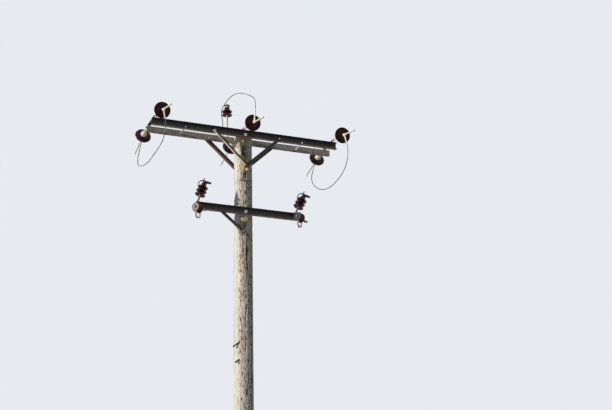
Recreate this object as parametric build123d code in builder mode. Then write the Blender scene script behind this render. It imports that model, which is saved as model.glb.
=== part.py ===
"""Wooden utility pole with a double steel crossarm and six strain insulator strings.

Millimetres. The origin is the centre of the pole's foot at ground level, +Z is up, +X runs
along the crossarms and -Y is the front, where the single lower arm is.
"""

from build123d import *

import math
import os

os.makedirs("parts", exist_ok=True)

# Pole
ground_radius = 156.0
top_radius = 123.5
pole_height = 9845.0
roof_angle = 12.0

# Double crossarm at the pole's top, its two channels back to back
arm_top_drop = 45.0
arm_height = pole_height - arm_top_drop
arm_length = 2710.0
web_half_spacing = 115.0
front_arm_height = 100.0
front_arm_width = 50.0
front_web = 6.0
front_flange = 8.5
back_arm_height = 80.0
back_arm_width = 45.0
back_web = 6.0
back_flange = 8.0
back_arm_drop = 3.0
channel_root_radius = 8.0
channel_toe_radius = 4.0

# Bolts, rods, nuts and washers
rod_radius = 8.0
rod_drop = 14.0
rod_end = 10.0
left_rod_inset = 480.0
right_rod_inset = 515.0
left_rod_x = left_rod_inset - arm_length / 2
right_rod_x = arm_length / 2 - right_rod_inset
nut_radius = 14.0
nut_thickness = 13.0
crossarm_bolt_radius = 10.0
washer_radius = 23.0
foot_washer_radius = 26.0
washer_thickness = 5.0
fit_clearance = 0.3

# Braces under the crossarm
brace_leg = 45.0
brace_thickness = 5.0
brace_reach = 503.0
brace_rise = 478.0
brace_heel_drop = 500.0
brace_foot_drop = 560.0
brace_tongue = 26.0
brace_leg_start = 30.0
brace_half_gap = 2.0
brace_bolt_x = 10.0
brace_bolt_drop = 532.0
brace_end_margin = 22.0
top_bolt_radius = 6.0
top_nut_radius = 9.5
top_nut_thickness = 8.0

# Tie straps across the two channels
left_line_inset = 30.0
right_line_inset = 75.0
left_line_x = left_line_inset - arm_length / 2
middle_line_x = -45.0
right_line_x = arm_length / 2 - right_line_inset
strap_width = 50.0
strap_thickness = 10.0
strap_reach = 240.0
eye_offset = 215.0

# Shackle and link at each end of a tie strap, the front link with a thick body
pin_radius = 8.0
shackle_bar = 7.0
shackle_bend = 18.0
shackle_leg = 40.0
ring_radius = 14.0
ring_bar = 6.0
front_link = 190.0
back_link = 65.0
link_body_start = 55.0
link_body_length = 90.0
link_body_radius = 17.0
link_play = 0.8
string_slope = 13.2

# Cap and pin insulator discs
disc_length = 140.0
disc_radius = 114.0
disc_fall = 31.0
disc_lip = 7.0
rib_radii = (86.0, 60.0)
rib_depths = (14.0, 22.0)
rib_width = 9.0
head_radius = 30.0
head_height = 40.0
cap_radius = 43.0
cap_height = 60.0
cap_neck = 22.0
socket_radius = 11.5
socket_depth = 14.0
ball_radius = 11.0

# Strain clamps, each with a socket for the jumper
clamp_radius = 20.0
clamp_neck = 50.0
barrel_radius = 12.0
clamp_length = 400.0
clamp_taper = 40.0
mouth_radius = 10.0
wire_radius = 6.0
wire_depth = 120.0
sleeve_seam = 0.1
jumper_boss = 17.0
jumper_socket_radius = 10.0

# Jumpers
jumper_radius = 6.0
arc_share = 0.45

# Riser pin and its insulator on the back channel
riser_x = -190.0
riser_stem_radius = 14.0
riser_height = 375.0
riser_core_radius = 40.0
riser_shed_radius = 75.0
riser_shed_pitch = 52.0

# Lower arm
lower_arm_drop = 1150.0
lower_arm_left = -720.0
lower_arm_right = 820.0
lower_seat_depth = 8.0
lower_brace_top_x = -372.0
lower_brace_foot_x = -40.0
lower_brace_angle = 39.0

# Insulator posts on the lower arm's ends
post_radius = 14.0
post_collar_radius = 21.0
post_collar_height = 14.0
post_stem = 95.0
post_lug_height = 30.0
post_nut_radius = 16.0
post_core_radius = 34.0
post_shed_radius = 74.0
post_shed_pitch = 58.0
post_sheds = 3
horn_radius = 8.0

# Spool insulators below the lower arm's ends
spool_radius = 65.0
spool_groove_radius = 42.0
spool_length = 90.0
spool_flange = 24.0
spool_offset = 137.0
plate_radius = 56.0
plate_thickness = 6.0
bracket_width = 50.0
bracket_thickness = 8.0
bracket_length = 150.0
bow_width = 25.0
bow_thickness = 5.4
bow_drop = 95.0


def pole_radius(height):
    """Radius of the tapered pole at a height above the ground."""
    return ground_radius + (top_radius - ground_radius) * height / pole_height


front_arm_top = arm_height + front_arm_height / 2
back_arm_middle = arm_height - back_arm_drop
back_arm_top = back_arm_middle + back_arm_height / 2
lower_arm_height = arm_height - lower_arm_drop
lower_seat = pole_radius(lower_arm_height) - lower_seat_depth
strap_middle = front_arm_top + strap_thickness / 2
rod_hole = rod_radius + fit_clearance
crossarm_hole = crossarm_bolt_radius + fit_clearance


def write(part, name):
    """Label a finished piece and save it as its own file."""
    part.label = name
    export_step(part, f"parts/{name}.step")


def facing(y):
    """Upright plane across Y at a given y, seen from the front, local x along X and y up."""
    return Plane.XZ.offset(-y)


def bar(x, z, front_end, back_end, radius, mode=Mode.ADD):
    """Round bar along Y between two ends, for the piece being built."""
    with BuildSketch(facing(back_end)) as section:
        with Locations((x, z)):
            Circle(radius)
    extrude(section.sketch, amount=back_end - front_end, mode=mode)


def nut(x, z, face, direction, radius=nut_radius, thickness=nut_thickness):
    """Hexagon nut that stands on a face at y, towards the back (1) or the front (-1)."""
    with BuildSketch(facing(face)) as section:
        with Locations((x, z)):
            RegularPolygon(radius, 6)
    extrude(section.sketch, amount=-direction * thickness)


def washer(x, z, face, direction, radius):
    """Round washer that stands on a face at y, towards the back (1) or the front (-1)."""
    with BuildSketch(facing(face)) as section:
        with Locations((x, z)):
            Circle(radius)
    extrude(section.sketch, amount=-direction * washer_thickness)


def turned(plane, points, mode=Mode.ADD):
    """Solid of revolution about a plane's local y from a closed outline."""
    with BuildSketch(plane) as section:
        with BuildLine():
            Polyline(*points, close=True)
        make_face()
    revolve(section.sketch, axis=Axis(plane.origin, plane.y_dir), mode=mode)


def turning_plane(origin, direction, across):
    """Plane whose local y is the axis of a turned piece and whose local x lies across it."""
    return Plane(origin=origin, x_dir=across, z_dir=Vector(*across).cross(Vector(*direction)))


def channel_section(plane, height, width, web, flange):
    """Section of a rolled channel, its web's back on the plane's local y axis."""
    half = height / 2
    with BuildSketch(plane) as section:
        with BuildLine():
            Polyline(
                (0, -half),
                (width, -half),
                (width, -half + flange),
                (web, -half + flange),
                (web, half - flange),
                (width, half - flange),
                (width, half),
                (0, half),
                close=True,
            )
        make_face()
        inner = section.vertices().filter_by(lambda v: abs(v.Y) < half - flange / 2)
        fillet(inner.filter_by(lambda v: v.X < width / 2), channel_root_radius)
        inner = section.vertices().filter_by(lambda v: abs(v.Y) < half - flange / 2)
        fillet(inner.filter_by(lambda v: v.X > width - channel_toe_radius / 2), channel_toe_radius)
    return section.sketch


# The pole: a tapered log with a pitched top, flat seats for the arms and three bolt holes
with BuildPart() as pole:
    with BuildSketch(Plane.XZ):
        with BuildLine():
            Polyline((0, 0), (ground_radius, 0), (top_radius, pole_height), (0, pole_height), close=True)
        make_face()
    revolve(axis=Axis.Z)
    for side in (-1, 1):
        lean = math.radians(roof_angle)
        split(
            bisect_by=Plane(origin=(0, 0, pole_height), z_dir=(side * math.sin(lean), 0, math.cos(lean))),
            keep=Keep.BOTTOM,
        )
    with BuildSketch(facing(-web_half_spacing)):
        with Locations((0, arm_height)):
            Rectangle(2 * ground_radius, front_arm_height)
    extrude(amount=ground_radius, mode=Mode.SUBTRACT)
    with BuildSketch(facing(web_half_spacing)):
        with Locations((0, back_arm_middle - back_arm_height / 2)):
            Rectangle(2 * ground_radius, 2 * back_arm_height, align=(Align.CENTER, Align.MIN))
    extrude(amount=-ground_radius, mode=Mode.SUBTRACT)
    with BuildSketch(facing(-lower_seat)):
        with Locations((0, lower_arm_height)):
            Rectangle(2 * ground_radius, front_arm_height)
    extrude(amount=ground_radius, mode=Mode.SUBTRACT)
    bar(0, back_arm_middle, -ground_radius, ground_radius, crossarm_hole, mode=Mode.SUBTRACT)
    bar(
        brace_bolt_x,
        arm_height - brace_bolt_drop,
        -ground_radius,
        ground_radius,
        rod_hole,
        mode=Mode.SUBTRACT,
    )
    bar(0, lower_arm_height, -ground_radius, ground_radius, rod_hole, mode=Mode.SUBTRACT)
write(pole.part, "pole")


# Braces: angle bars from the channels' lower flange tips down to one bolt through the pole
brace_angle = math.atan2(brace_rise, brace_reach)
brace_foot_height = arm_height - brace_foot_drop
brace_foot_seat = pole_radius(brace_foot_height) + fit_clearance


def brace_plane(side, arm_width, arm_bottom):
    """Plane of a brace pair's inner faces, leaning from the pole's face out to the flange tip.

    side is -1 for the front pair and 1 for the back pair. Local y is up the slope and local x
    runs to the right as seen from outside.
    """
    tip = Vector(0, side * (web_half_spacing + arm_width + fit_clearance), arm_bottom)
    foot = Vector(0, side * brace_foot_seat, brace_foot_height)
    along = Vector(-side, 0, 0)
    return Plane(origin=foot, x_dir=along, z_dir=along.cross(tip - foot))


def along_brace(foot_x, hand, distance, depth):
    """Point at a distance up a brace's heel line and a depth above it."""
    heel = brace_foot_drop - brace_heel_drop
    return (
        foot_x + hand * (distance * math.cos(brace_angle) - depth * math.sin(brace_angle)),
        heel + distance * math.sin(brace_angle) + depth * math.cos(brace_angle),
    )


def brace_foot_x(plane, hand):
    """Local x of a brace's inner foot edge, beside the bolt."""
    return plane.x_dir.X * brace_bolt_x + hand * brace_half_gap


def brace_hole(plane, hand):
    """Centre of a brace's upper hole in its plane."""
    length = math.hypot(brace_reach, brace_rise)
    return along_brace(brace_foot_x(plane, hand), hand, length - brace_end_margin, 0.6 * brace_leg)


def brace(plane, hand):
    """Angle bar with its flat leg in the plane, hand being -1 where it rises to local -x.

    The other leg stands outwards along the lower edge. At the foot it is cut away, and the flat
    leg turns down beside the other brace's as a tongue, with half of the bolt's hole in it.
    """
    length = math.hypot(brace_reach, brace_rise)
    foot_x = brace_foot_x(plane, hand)
    tongue_x = foot_x + hand * brace_tongue
    heel = brace_foot_drop - brace_heel_drop
    with BuildPart() as angle_bar:
        with BuildSketch(plane):
            with BuildLine():
                Polyline(
                    (foot_x, 0),
                    (tongue_x, 0),
                    (tongue_x, heel + brace_tongue * math.tan(brace_angle)),
                    along_brace(foot_x, hand, length, 0),
                    along_brace(foot_x, hand, length, brace_leg),
                    (foot_x, heel + brace_leg / math.cos(brace_angle)),
                    close=True,
                )
            make_face()
            with Locations((plane.x_dir.X * brace_bolt_x, brace_foot_drop - brace_bolt_drop)):
                Circle(rod_radius + brace_half_gap, mode=Mode.SUBTRACT)
            with Locations(brace_hole(plane, hand)):
                Circle(top_bolt_radius + 2 * fit_clearance, mode=Mode.SUBTRACT)
        extrude(amount=brace_thickness)
        with BuildSketch(plane):
            with BuildLine():
                Polyline(
                    along_brace(foot_x, hand, brace_leg_start, 0),
                    along_brace(foot_x, hand, length, 0),
                    along_brace(foot_x, hand, length, brace_thickness),
                    along_brace(foot_x, hand, brace_leg_start, brace_thickness),
                    close=True,
                )
            make_face()
        extrude(amount=brace_leg)
    return angle_bar


front_brace_plane = brace_plane(-1, front_arm_width, arm_height - front_arm_height / 2)
back_brace_plane = brace_plane(1, back_arm_width, back_arm_middle - back_arm_height / 2)
brace_bolts = {}
for plane, place in ((front_brace_plane, "front"), (back_brace_plane, "back")):
    for hand in (-1, 1):
        end = "left" if hand * plane.x_dir.X < 0 else "right"
        write(brace(plane, hand).part, f"{place}_{end}_brace")
    brace_bolts[place] = [plane.from_local_coords(brace_hole(plane, hand)) for hand in (-1, 1)]

# The two channels of the crossarm, back to back on the pole's flats
front_web_face = -web_half_spacing - front_web
back_web_face = web_half_spacing + back_web
with BuildPart() as front_channel:
    section = channel_section(
        Plane(origin=(arm_length / 2, -web_half_spacing, arm_height), x_dir=(0, -1, 0), z_dir=(-1, 0, 0)),
        front_arm_height,
        front_arm_width,
        front_web,
        front_flange,
    )
    extrude(section, amount=arm_length)
    for x in (left_rod_x, right_rod_x):
        bar(x, arm_height - rod_drop, front_web_face - 1, -web_half_spacing + 1, rod_hole, mode=Mode.SUBTRACT)
    bar(0, back_arm_middle, front_web_face - 1, -web_half_spacing + 1, crossarm_hole, mode=Mode.SUBTRACT)
    for place in brace_bolts["front"]:
        hole = top_bolt_radius + fit_clearance
        bar(place.X, place.Z, front_web_face - 1, -web_half_spacing + 1, hole, mode=Mode.SUBTRACT)
write(front_channel.part, "front_channel")

with BuildPart() as back_channel:
    section = channel_section(
        Plane(origin=(-arm_length / 2, web_half_spacing, back_arm_middle), x_dir=(0, 1, 0), z_dir=(1, 0, 0)),
        back_arm_height,
        back_arm_width,
        back_web,
        back_flange,
    )
    extrude(section, amount=arm_length)
    for x in (left_rod_x, right_rod_x):
        bar(x, arm_height - rod_drop, web_half_spacing - 1, back_web_face + 1, rod_hole, mode=Mode.SUBTRACT)
    bar(0, back_arm_middle, web_half_spacing - 1, back_web_face + 1, crossarm_hole, mode=Mode.SUBTRACT)
    for place in brace_bolts["back"]:
        hole = top_bolt_radius + fit_clearance
        bar(place.X, place.Z, web_half_spacing - 1, back_web_face + 1, hole, mode=Mode.SUBTRACT)
write(back_channel.part, "back_channel")

# Rods that hold the channels apart, with a nut on both sides of each web
for x, end in ((left_rod_x, "left"), (right_rod_x, "right")):
    z = arm_height - rod_drop
    with BuildPart() as spacer_rod:
        reach = nut_thickness + rod_end
        bar(x, z, front_web_face - reach, back_web_face + reach, rod_radius)
        nut(x, z, front_web_face, -1)
        nut(x, z, -web_half_spacing, 1)
        nut(x, z, web_half_spacing, -1)
        nut(x, z, back_web_face, 1)
    write(spacer_rod.part, f"{end}_spacer_rod")


def pole_bolt(x, z, front_face, back_face, radius, washer_size, name):
    """Bolt through the pole with a washer and a nut on a face at each end."""
    reach = washer_thickness + nut_thickness + rod_end
    with BuildPart() as bolt:
        bar(x, z, front_face - reach, back_face + reach, radius)
        washer(x, z, front_face, -1, washer_size)
        nut(x, z, front_face - washer_thickness, -1)
        washer(x, z, back_face, 1, washer_size)
        nut(x, z, back_face + washer_thickness, 1)
    write(bolt.part, name)


def outer_face(plane, height):
    """How far out from the pole's axis a brace's outer face is at a height."""
    along = (height - plane.origin.Z) / plane.y_dir.Z
    return abs((plane.origin + plane.y_dir * along + plane.z_dir * brace_thickness).Y)


pole_bolt(
    0,
    back_arm_middle,
    front_web_face,
    back_web_face,
    crossarm_bolt_radius,
    washer_radius,
    "crossarm_bolt",
)
brace_bolt_height = arm_height - brace_bolt_drop
washer_top = brace_bolt_height + foot_washer_radius
pole_bolt(
    brace_bolt_x,
    brace_bolt_height,
    -outer_face(front_brace_plane, washer_top) - fit_clearance,
    outer_face(back_brace_plane, washer_top) + fit_clearance,
    rod_radius,
    foot_washer_radius,
    "brace_bolt",
)
pole_bolt(
    0,
    lower_arm_height,
    -lower_seat - front_web,
    pole_radius(lower_arm_height) + fit_clearance,
    rod_radius,
    washer_radius,
    "lower_arm_bolt",
)

for side, plane, place in ((-1, front_brace_plane, "front"), (1, back_brace_plane, "back")):
    web_outside = web_half_spacing + (front_web if side < 0 else back_web)
    with BuildPart() as top_bolts:
        for hole in brace_bolts[place]:
            head_seat = outer_face(plane, hole.Z + top_nut_radius) + fit_clearance
            inner_end = side * (web_half_spacing - top_nut_thickness - rod_end)
            outer_end = side * (head_seat + top_nut_thickness)
            bar(hole.X, hole.Z, min(inner_end, outer_end), max(inner_end, outer_end), top_bolt_radius)
            for face, direction in (
                (side * head_seat, side),
                (side * web_outside, side),
                (side * web_half_spacing, -side),
            ):
                nut(hole.X, hole.Z, face, direction, top_nut_radius, top_nut_thickness)
    write(top_bolts.part, f"{place}_brace_bolts")


def tie_strap(x):
    """Flat bar across both channels, packed up on the lower back one, with an eye at each end."""
    with BuildPart() as strap:
        with BuildSketch(Plane.XY.offset(front_arm_top)):
            with Locations((x, 0)):
                SlotOverall(2 * strap_reach, strap_width, rotation=90)
            with Locations((x, eye_offset), (x, -eye_offset)):
                Circle(pin_radius + fit_clearance, mode=Mode.SUBTRACT)
        extrude(amount=strap_thickness)
        with BuildSketch(Plane.XY.offset(back_arm_top)):
            with Locations((x, web_half_spacing + back_arm_width / 2)):
                Rectangle(strap_width, back_arm_width)
        extrude(amount=front_arm_top - back_arm_top)
    return strap


def shackle(x, side):
    """Bow shackle standing upright, with its pin through the strap's eye."""
    legs = Plane(origin=(x, side * eye_offset, strap_middle), x_dir=(0, side, 0), z_dir=(side, 0, 0))
    with BuildLine(legs) as path:
        Line((0, shackle_bend), (shackle_leg, shackle_bend))
        CenterArc((shackle_leg, 0), shackle_bend, 90, -180)
        Line((shackle_leg, -shackle_bend), (0, -shackle_bend))
    with BuildSketch(Plane(origin=path.line @ 0, z_dir=path.line % 0)) as section:
        RegularPolygon(shackle_bar, 8)
    sweep(section.sketch, path=path.line)
    with BuildSketch(Plane.XY.offset(strap_middle - shackle_bend - 2 * shackle_bar)) as section:
        with Locations((x, side * eye_offset)):
            Circle(pin_radius)
    extrude(section.sketch, amount=2 * shackle_bend + 4 * shackle_bar)


def string_plane(x, side):
    """Plane whose local y runs outwards along an insulator string from its link's ring."""
    droop = math.radians(string_slope)
    bow = eye_offset + shackle_leg + shackle_bend
    ring = bow + ring_radius - ring_bar - shackle_bar - link_play
    return turning_plane(
        (x, side * ring, strap_middle), (0, side * math.cos(droop), -math.sin(droop)), (1, 0, 0)
    )


def ball_pin(plane, start, socket, body=()):
    """Round pin from start to a socket's mouth, with the ball that hangs in the socket."""
    turned(
        plane,
        (
            (0, start),
            (pin_radius, start),
            *body,
            (pin_radius, socket - 3),
            (ball_radius, socket + 1),
            (ball_radius, socket + socket_depth - fit_clearance),
            (0, socket + socket_depth - fit_clearance),
        ),
    )


def disc(plane, top):
    """Porcelain disc with its head, a drooping shell and ribs underneath, from its cap's top."""
    crown = top + cap_height + fit_clearance
    head = crown - head_height
    rim = crown + disc_fall
    pin_top = head + head_radius - fit_clearance

    def underside(radius):
        """Height of the shell's underside between the ribs, falling towards the rim."""
        return crown + disc_fall * (0.5 + 0.45 * radius / disc_radius)

    under = [(disc_radius, rim), (disc_radius, rim + disc_lip)]
    under.append((disc_radius - 2 * disc_lip, underside(disc_radius - 2 * disc_lip)))
    for radius, depth in zip(rib_radii, rib_depths):
        foot = 0.6 * rib_width
        tip = 0.35 * rib_width
        under += [
            (radius + foot, underside(radius + foot)),
            (radius + tip, rim + depth),
            (radius - tip, rim + depth),
            (radius - foot, underside(radius - foot)),
        ]
    pin_hole = pin_radius + fit_clearance
    with BuildSketch(plane) as section:
        with BuildLine():
            Polyline(
                *under,
                (pin_hole, underside(pin_hole)),
                (pin_hole, pin_top),
                (0, pin_top),
                (0, head),
                (head_radius, head),
                (head_radius, crown),
                (cap_radius, crown),
            )
            ThreePointArc((cap_radius, crown), (0.8 * disc_radius, crown + 0.35 * disc_fall), (disc_radius, rim))
        make_face()
    revolve(section.sketch, axis=Axis(plane.origin, plane.y_dir))


def cap(plane, top):
    """Iron cap over a disc's head, with the socket for the ball above it."""
    head = top + cap_height - head_height
    turned(
        plane,
        (
            (0, top + socket_depth),
            (socket_radius, top + socket_depth),
            (socket_radius, top),
            (cap_neck, top),
            (0.78 * cap_radius, top + 0.2 * cap_height),
            (0.96 * cap_radius, top + 0.77 * cap_height),
            (cap_radius, top + cap_height),
            (head_radius + fit_clearance, top + cap_height),
            (head_radius + fit_clearance, head),
            (0, head),
        ),
    )


def link_body():
    """Outline points of the thick body round a front link."""
    end = link_body_start + link_body_length
    chamfer = 0.4 * link_body_radius
    return (
        (pin_radius, link_body_start),
        (link_body_radius - chamfer, link_body_start),
        (link_body_radius, link_body_start + chamfer),
        (link_body_radius, end - chamfer),
        (link_body_radius - chamfer, end),
        (pin_radius, end),
    )


def insulator_string(x, side, name):
    """Porcelain disc of one string, and its ironwork: shackle, link, cap and pin."""
    plane = string_plane(x, side)
    top = front_link if side < 0 else back_link

    with BuildPart() as porcelain:
        disc(plane, top)
    write(porcelain.part, f"{name}_discs")

    with BuildPart() as ironwork:
        shackle(x, side)
        with BuildSketch(Plane(origin=plane.origin + plane.y_dir * ring_radius, z_dir=plane.x_dir)):
            RegularPolygon(ring_bar, 8)
        revolve(axis=Axis(plane.origin, plane.z_dir))
        ball_pin(plane, ring_radius + ring_bar - 2, top, link_body() if side < 0 else ())
        cap(plane, top)
        ball_pin(plane, top + cap_height - head_height + head_radius + fit_clearance, top + disc_length)
    write(ironwork.part, f"{name}_ironwork")
    return plane, top + disc_length


def strain_clamp(plane, start, direction, socket_length, name):
    """Pressed strain clamp: socket and barrel, the conductor's sleeve and the jumper's own socket."""
    end = start + clamp_length
    sleeve = end - wire_depth
    branch = Plane(origin=plane.origin + plane.y_dir * (start + clamp_radius), z_dir=direction)
    with BuildPart() as clamp:
        turned(
            plane,
            (
                (0, start),
                (clamp_radius, start),
                (clamp_radius, start + 0.7 * clamp_neck),
                (barrel_radius, start + clamp_neck),
                (barrel_radius, sleeve - sleeve_seam),
                (0, sleeve - sleeve_seam),
            ),
        )
        turned(
            plane,
            (
                (wire_radius, sleeve),
                (barrel_radius, sleeve),
                (barrel_radius, end - clamp_taper),
                (mouth_radius, end),
                (wire_radius, end),
            ),
        )
        with BuildSketch(branch):
            Circle(jumper_boss)
        extrude(amount=1.4 * clamp_radius)
        with BuildSketch(branch):
            Circle(jumper_socket_radius)
        extrude(amount=socket_length)
        with BuildSketch(Plane(origin=plane.origin + plane.y_dir * start, z_dir=plane.y_dir)):
            Circle(socket_radius)
        extrude(amount=socket_depth, mode=Mode.SUBTRACT)
    write(clamp.part, f"{name}_clamp")
    mouth = plane.origin + plane.y_dir * end
    print(f"{name} mouth", [round(v, 2) for v in mouth], "axis", [round(v, 4) for v in plane.y_dir])
    return branch.origin + direction * socket_length, direction


def out_and_down(side, angle):
    """Unit direction at an angle from straight down, leaning out from the pole on its side."""
    return Vector(0, side * math.sin(math.radians(angle)), -math.cos(math.radians(angle)))


# Each line: its x, and for the front and the back clamp the jumper socket's direction and length
lines = (
    ("left", left_line_x, (out_and_down(-1, 26), 195), (out_and_down(1, 40), 150)),
    ("middle", middle_line_x, (out_and_down(-1, 168), 195), (Vector(-0.35, 0.1, 0.93).normalized(), 150)),
    ("right", right_line_x, (out_and_down(-1, 26), 195), (out_and_down(1, 44), 150)),
)
jumper_ends = {}
for line, x, front_socket, back_socket in lines:
    write(tie_strap(x).part, f"{line}_tie_strap")
    for side, place, socket in ((-1, "front", front_socket), (1, "back", back_socket)):
        name = f"{place}_{line}"
        plane, start = insulator_string(x, side, name)
        jumper_ends[name] = strain_clamp(plane, start, socket[0], socket[1], name)


def corner_radii(points):
    """Radius at each corner: a share of the shorter run beside it over the tangent of half the turn."""
    radii = []
    for before, corner, after in zip(points, points[1:], points[2:]):
        run_in = corner - before
        run_out = after - corner
        half_turn = math.radians(run_in.get_angle(run_out) / 2)
        radii.append(arc_share * min(run_in.length, run_out.length) / math.tan(half_turn))
    return radii


def jumper(line, end_run, middle_points):
    """Jumper between a line's two clamps: straight runs with tangent arcs, heights from the arm."""
    front_end, front_direction = jumper_ends[f"front_{line}"]
    back_end, back_direction = jumper_ends[f"back_{line}"]
    points = [front_end, front_end + front_direction * end_run]
    points += [Vector(x, y, arm_height + z) for x, y, z in middle_points]
    points += [back_end + back_direction * end_run, back_end]
    radii = corner_radii(points)
    with BuildPart() as tube:
        with BuildLine() as path:
            FilletPolyline(*points, radius=radii)
        with BuildSketch(Plane(origin=front_end, z_dir=front_direction)):
            Circle(jumper_radius)
        sweep(path=path.line)
    write(tube.part, f"{line}_jumper")
    length = sum(edge.length for edge in path.edges())
    section = math.pi * jumper_radius**2
    print(f"{line} jumper: length {length:.0f}, volume over section by length",
          f"{tube.part.volume / (section * length):.4f}")
    print("  runs", [round((b - a).length) for a, b in zip(points, points[1:])])
    print("  radii", [round(r) for r in radii])
    print("  points", [tuple(round(v, 1) for v in p) for p in points])


jumper(
    "left",
    60,
    [
        (left_line_x, y, z)
        for y, z in (
            (-727, -335), (-695, -412), (-618, -462), (-515, -487), (-390, -499), (-250, -504),
            (-105, -501), (40, -505), (185, -491), (325, -462), (455, -427), (560, -388),
            (644, -340), (700, -274), (680, -200),
        )
    ],
)
jumper(
    "right",
    50,
    [
        (right_line_x, y, z)
        for y, z in (
            (-727, -318), (-715, -388), (-680, -457), (-622, -513), (-542, -555), (-441, -581),
            (-321, -598), (-191, -607), (-61, -601), (69, -581), (194, -547), (315, -500),
            (425, -441), (515, -381), (590, -317), (637, -251), (647, -197),
        )
    ],
)
jumper(
    "middle",
    60,
    [
        (-51, -662, 285),
        (-63, -622, 336),
        (-80, -550, 394),
        (-101, -455, 453),
        (-122, -350, 512),
        (-138, -245, 557),
        (-152, -140, 590),
        (-170, -25, 612),
        (-195, 78, 592),
        (-225, 140, 545),
        (-243, 200, 500),
        (-240, 258, 438),
        (-212, 278, 362),
        (-203, 285, 300),
        (-192, 325, 252),
        (-180, 385, 238),
        (-152, 468, 248),
    ],
)


def shed_outline(core, shed, pitch, count, start):
    """Outline points, going up, of a post with sheds that slope down to a blunt edge."""
    points = []
    for n in range(count):
        low = start + n * pitch
        points += [
            (core, low + 0.15 * pitch),
            (shed, low),
            (shed, low + 0.12 * pitch),
            (core, low + 0.62 * pitch),
        ]
    return points


# Riser pin on the back channel's upper flange, with the insulator that carries the middle jumper
riser_y = web_half_spacing + back_arm_width / 2
riser_foot = arm_height + riser_height - back_arm_top
riser_pin_top = riser_foot + riser_shed_pitch
riser_plane = turning_plane((riser_x, riser_y, back_arm_top), (0, 0, 1), (1, 0, 0))
with BuildPart() as riser_pin:
    turned(
        riser_plane,
        (
            (0, 0),
            (riser_stem_radius + 8, 0),
            (riser_stem_radius + 8, 12),
            (riser_stem_radius, 16),
            (riser_stem_radius, riser_pin_top),
            (0, riser_pin_top),
        ),
    )
write(riser_pin.part, "riser_pin")

with BuildPart() as riser_insulator:
    shoulder = riser_foot + 2 * riser_shed_pitch
    turned(
        riser_plane,
        [(riser_stem_radius + fit_clearance, riser_foot)]
        + shed_outline(riser_core_radius, riser_shed_radius, riser_shed_pitch, 2, riser_foot)
        + [
            (riser_core_radius, shoulder),
            (0.72 * riser_core_radius, shoulder + 12),
            (0.72 * riser_core_radius, shoulder + 26),
            (riser_core_radius, shoulder + 36),
            (0.8 * riser_core_radius, shoulder + 52),
            (0, shoulder + 56),
            (0, riser_pin_top + fit_clearance),
            (riser_stem_radius + fit_clearance, riser_pin_top + fit_clearance),
        ],
    )
write(riser_insulator.part, "riser_insulator")

# Lower arm on the pole's front, its bolt and its single brace
lower_arm_top = lower_arm_height + front_arm_height / 2
lower_arm_bottom = lower_arm_height - front_arm_height / 2
post_y = -lower_seat - 0.6 * front_arm_width

# Posts: name, x of the foot, angle of lean to the right
posts = (("left", lower_arm_left + 24, 19.0), ("right", lower_arm_right - 106, 26.0))
# Spools: name, x of the centre, how far the arm's underside lies above it
spools = (("left", lower_arm_left - 6, 30.0), ("right", lower_arm_right - 91, -5.0))

with BuildPart() as lower_arm:
    section = channel_section(
        Plane(origin=(lower_arm_right, -lower_seat, lower_arm_height), x_dir=(0, -1, 0), z_dir=(-1, 0, 0)),
        front_arm_height,
        front_arm_width,
        front_web,
        front_flange,
    )
    extrude(section, amount=lower_arm_right - lower_arm_left)
    bar(0, lower_arm_height, -lower_seat - front_web - 1, -lower_seat + 1, rod_hole, mode=Mode.SUBTRACT)
    with BuildSketch(Plane.XY.offset(lower_arm_top)):
        with Locations(*[(x, post_y) for _, x, _ in posts]):
            Circle(post_radius + fit_clearance)
    extrude(amount=-1.5 * front_flange, mode=Mode.SUBTRACT)
write(lower_arm.part, "lower_arm")

lower_brace_plane = facing(-pole_radius(arm_height - lower_arm_drop - 300) - fit_clearance)
lower_lean = math.radians(lower_brace_angle)
lower_brace_top = lower_arm_bottom - fit_clearance
lower_brace_length = (lower_brace_foot_x - lower_brace_top_x) / math.cos(lower_lean)


def along_lower_brace(distance, depth):
    """Point at a distance down the lower brace's heel line from its top and a depth above it."""
    return (
        lower_brace_top_x + distance * math.cos(lower_lean) + depth * math.sin(lower_lean),
        lower_brace_top - distance * math.sin(lower_lean) + depth * math.cos(lower_lean),
    )


lower_bolt_x, lower_bolt_z = along_lower_brace(lower_brace_length - 24, brace_leg / 2)
with BuildPart() as lower_brace:
    with BuildSketch(lower_brace_plane):
        with BuildLine():
            Polyline(
                along_lower_brace(0, 0),
                along_lower_brace(lower_brace_length, 0),
                along_lower_brace(lower_brace_length, brace_leg),
                (lower_brace_top_x + brace_leg / math.sin(lower_lean), lower_brace_top),
                close=True,
            )
        make_face()
        with Locations((lower_bolt_x, lower_bolt_z)):
            Circle(rod_hole, mode=Mode.SUBTRACT)
    extrude(amount=brace_thickness)
    with BuildSketch(lower_brace_plane):
        with BuildLine():
            Polyline(
                along_lower_brace(0, 0),
                along_lower_brace(lower_brace_length - 60, 0),
                along_lower_brace(lower_brace_length - 60, brace_thickness),
                (lower_brace_top_x + brace_thickness / math.sin(lower_lean), lower_brace_top),
                close=True,
            )
        make_face()
    extrude(amount=0.8 * brace_leg)
write(lower_brace.part, "lower_brace")

lower_brace_seat = lower_brace_plane.origin.Y - brace_thickness
with BuildPart() as lower_brace_bolt:
    nut(lower_bolt_x, lower_bolt_z, lower_brace_seat, -1)
    bar(
        lower_bolt_x,
        lower_bolt_z,
        lower_brace_seat - nut_thickness,
        lower_brace_seat + brace_thickness,
        rod_radius,
    )
write(lower_brace_bolt.part, "lower_brace_bolt")


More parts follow.
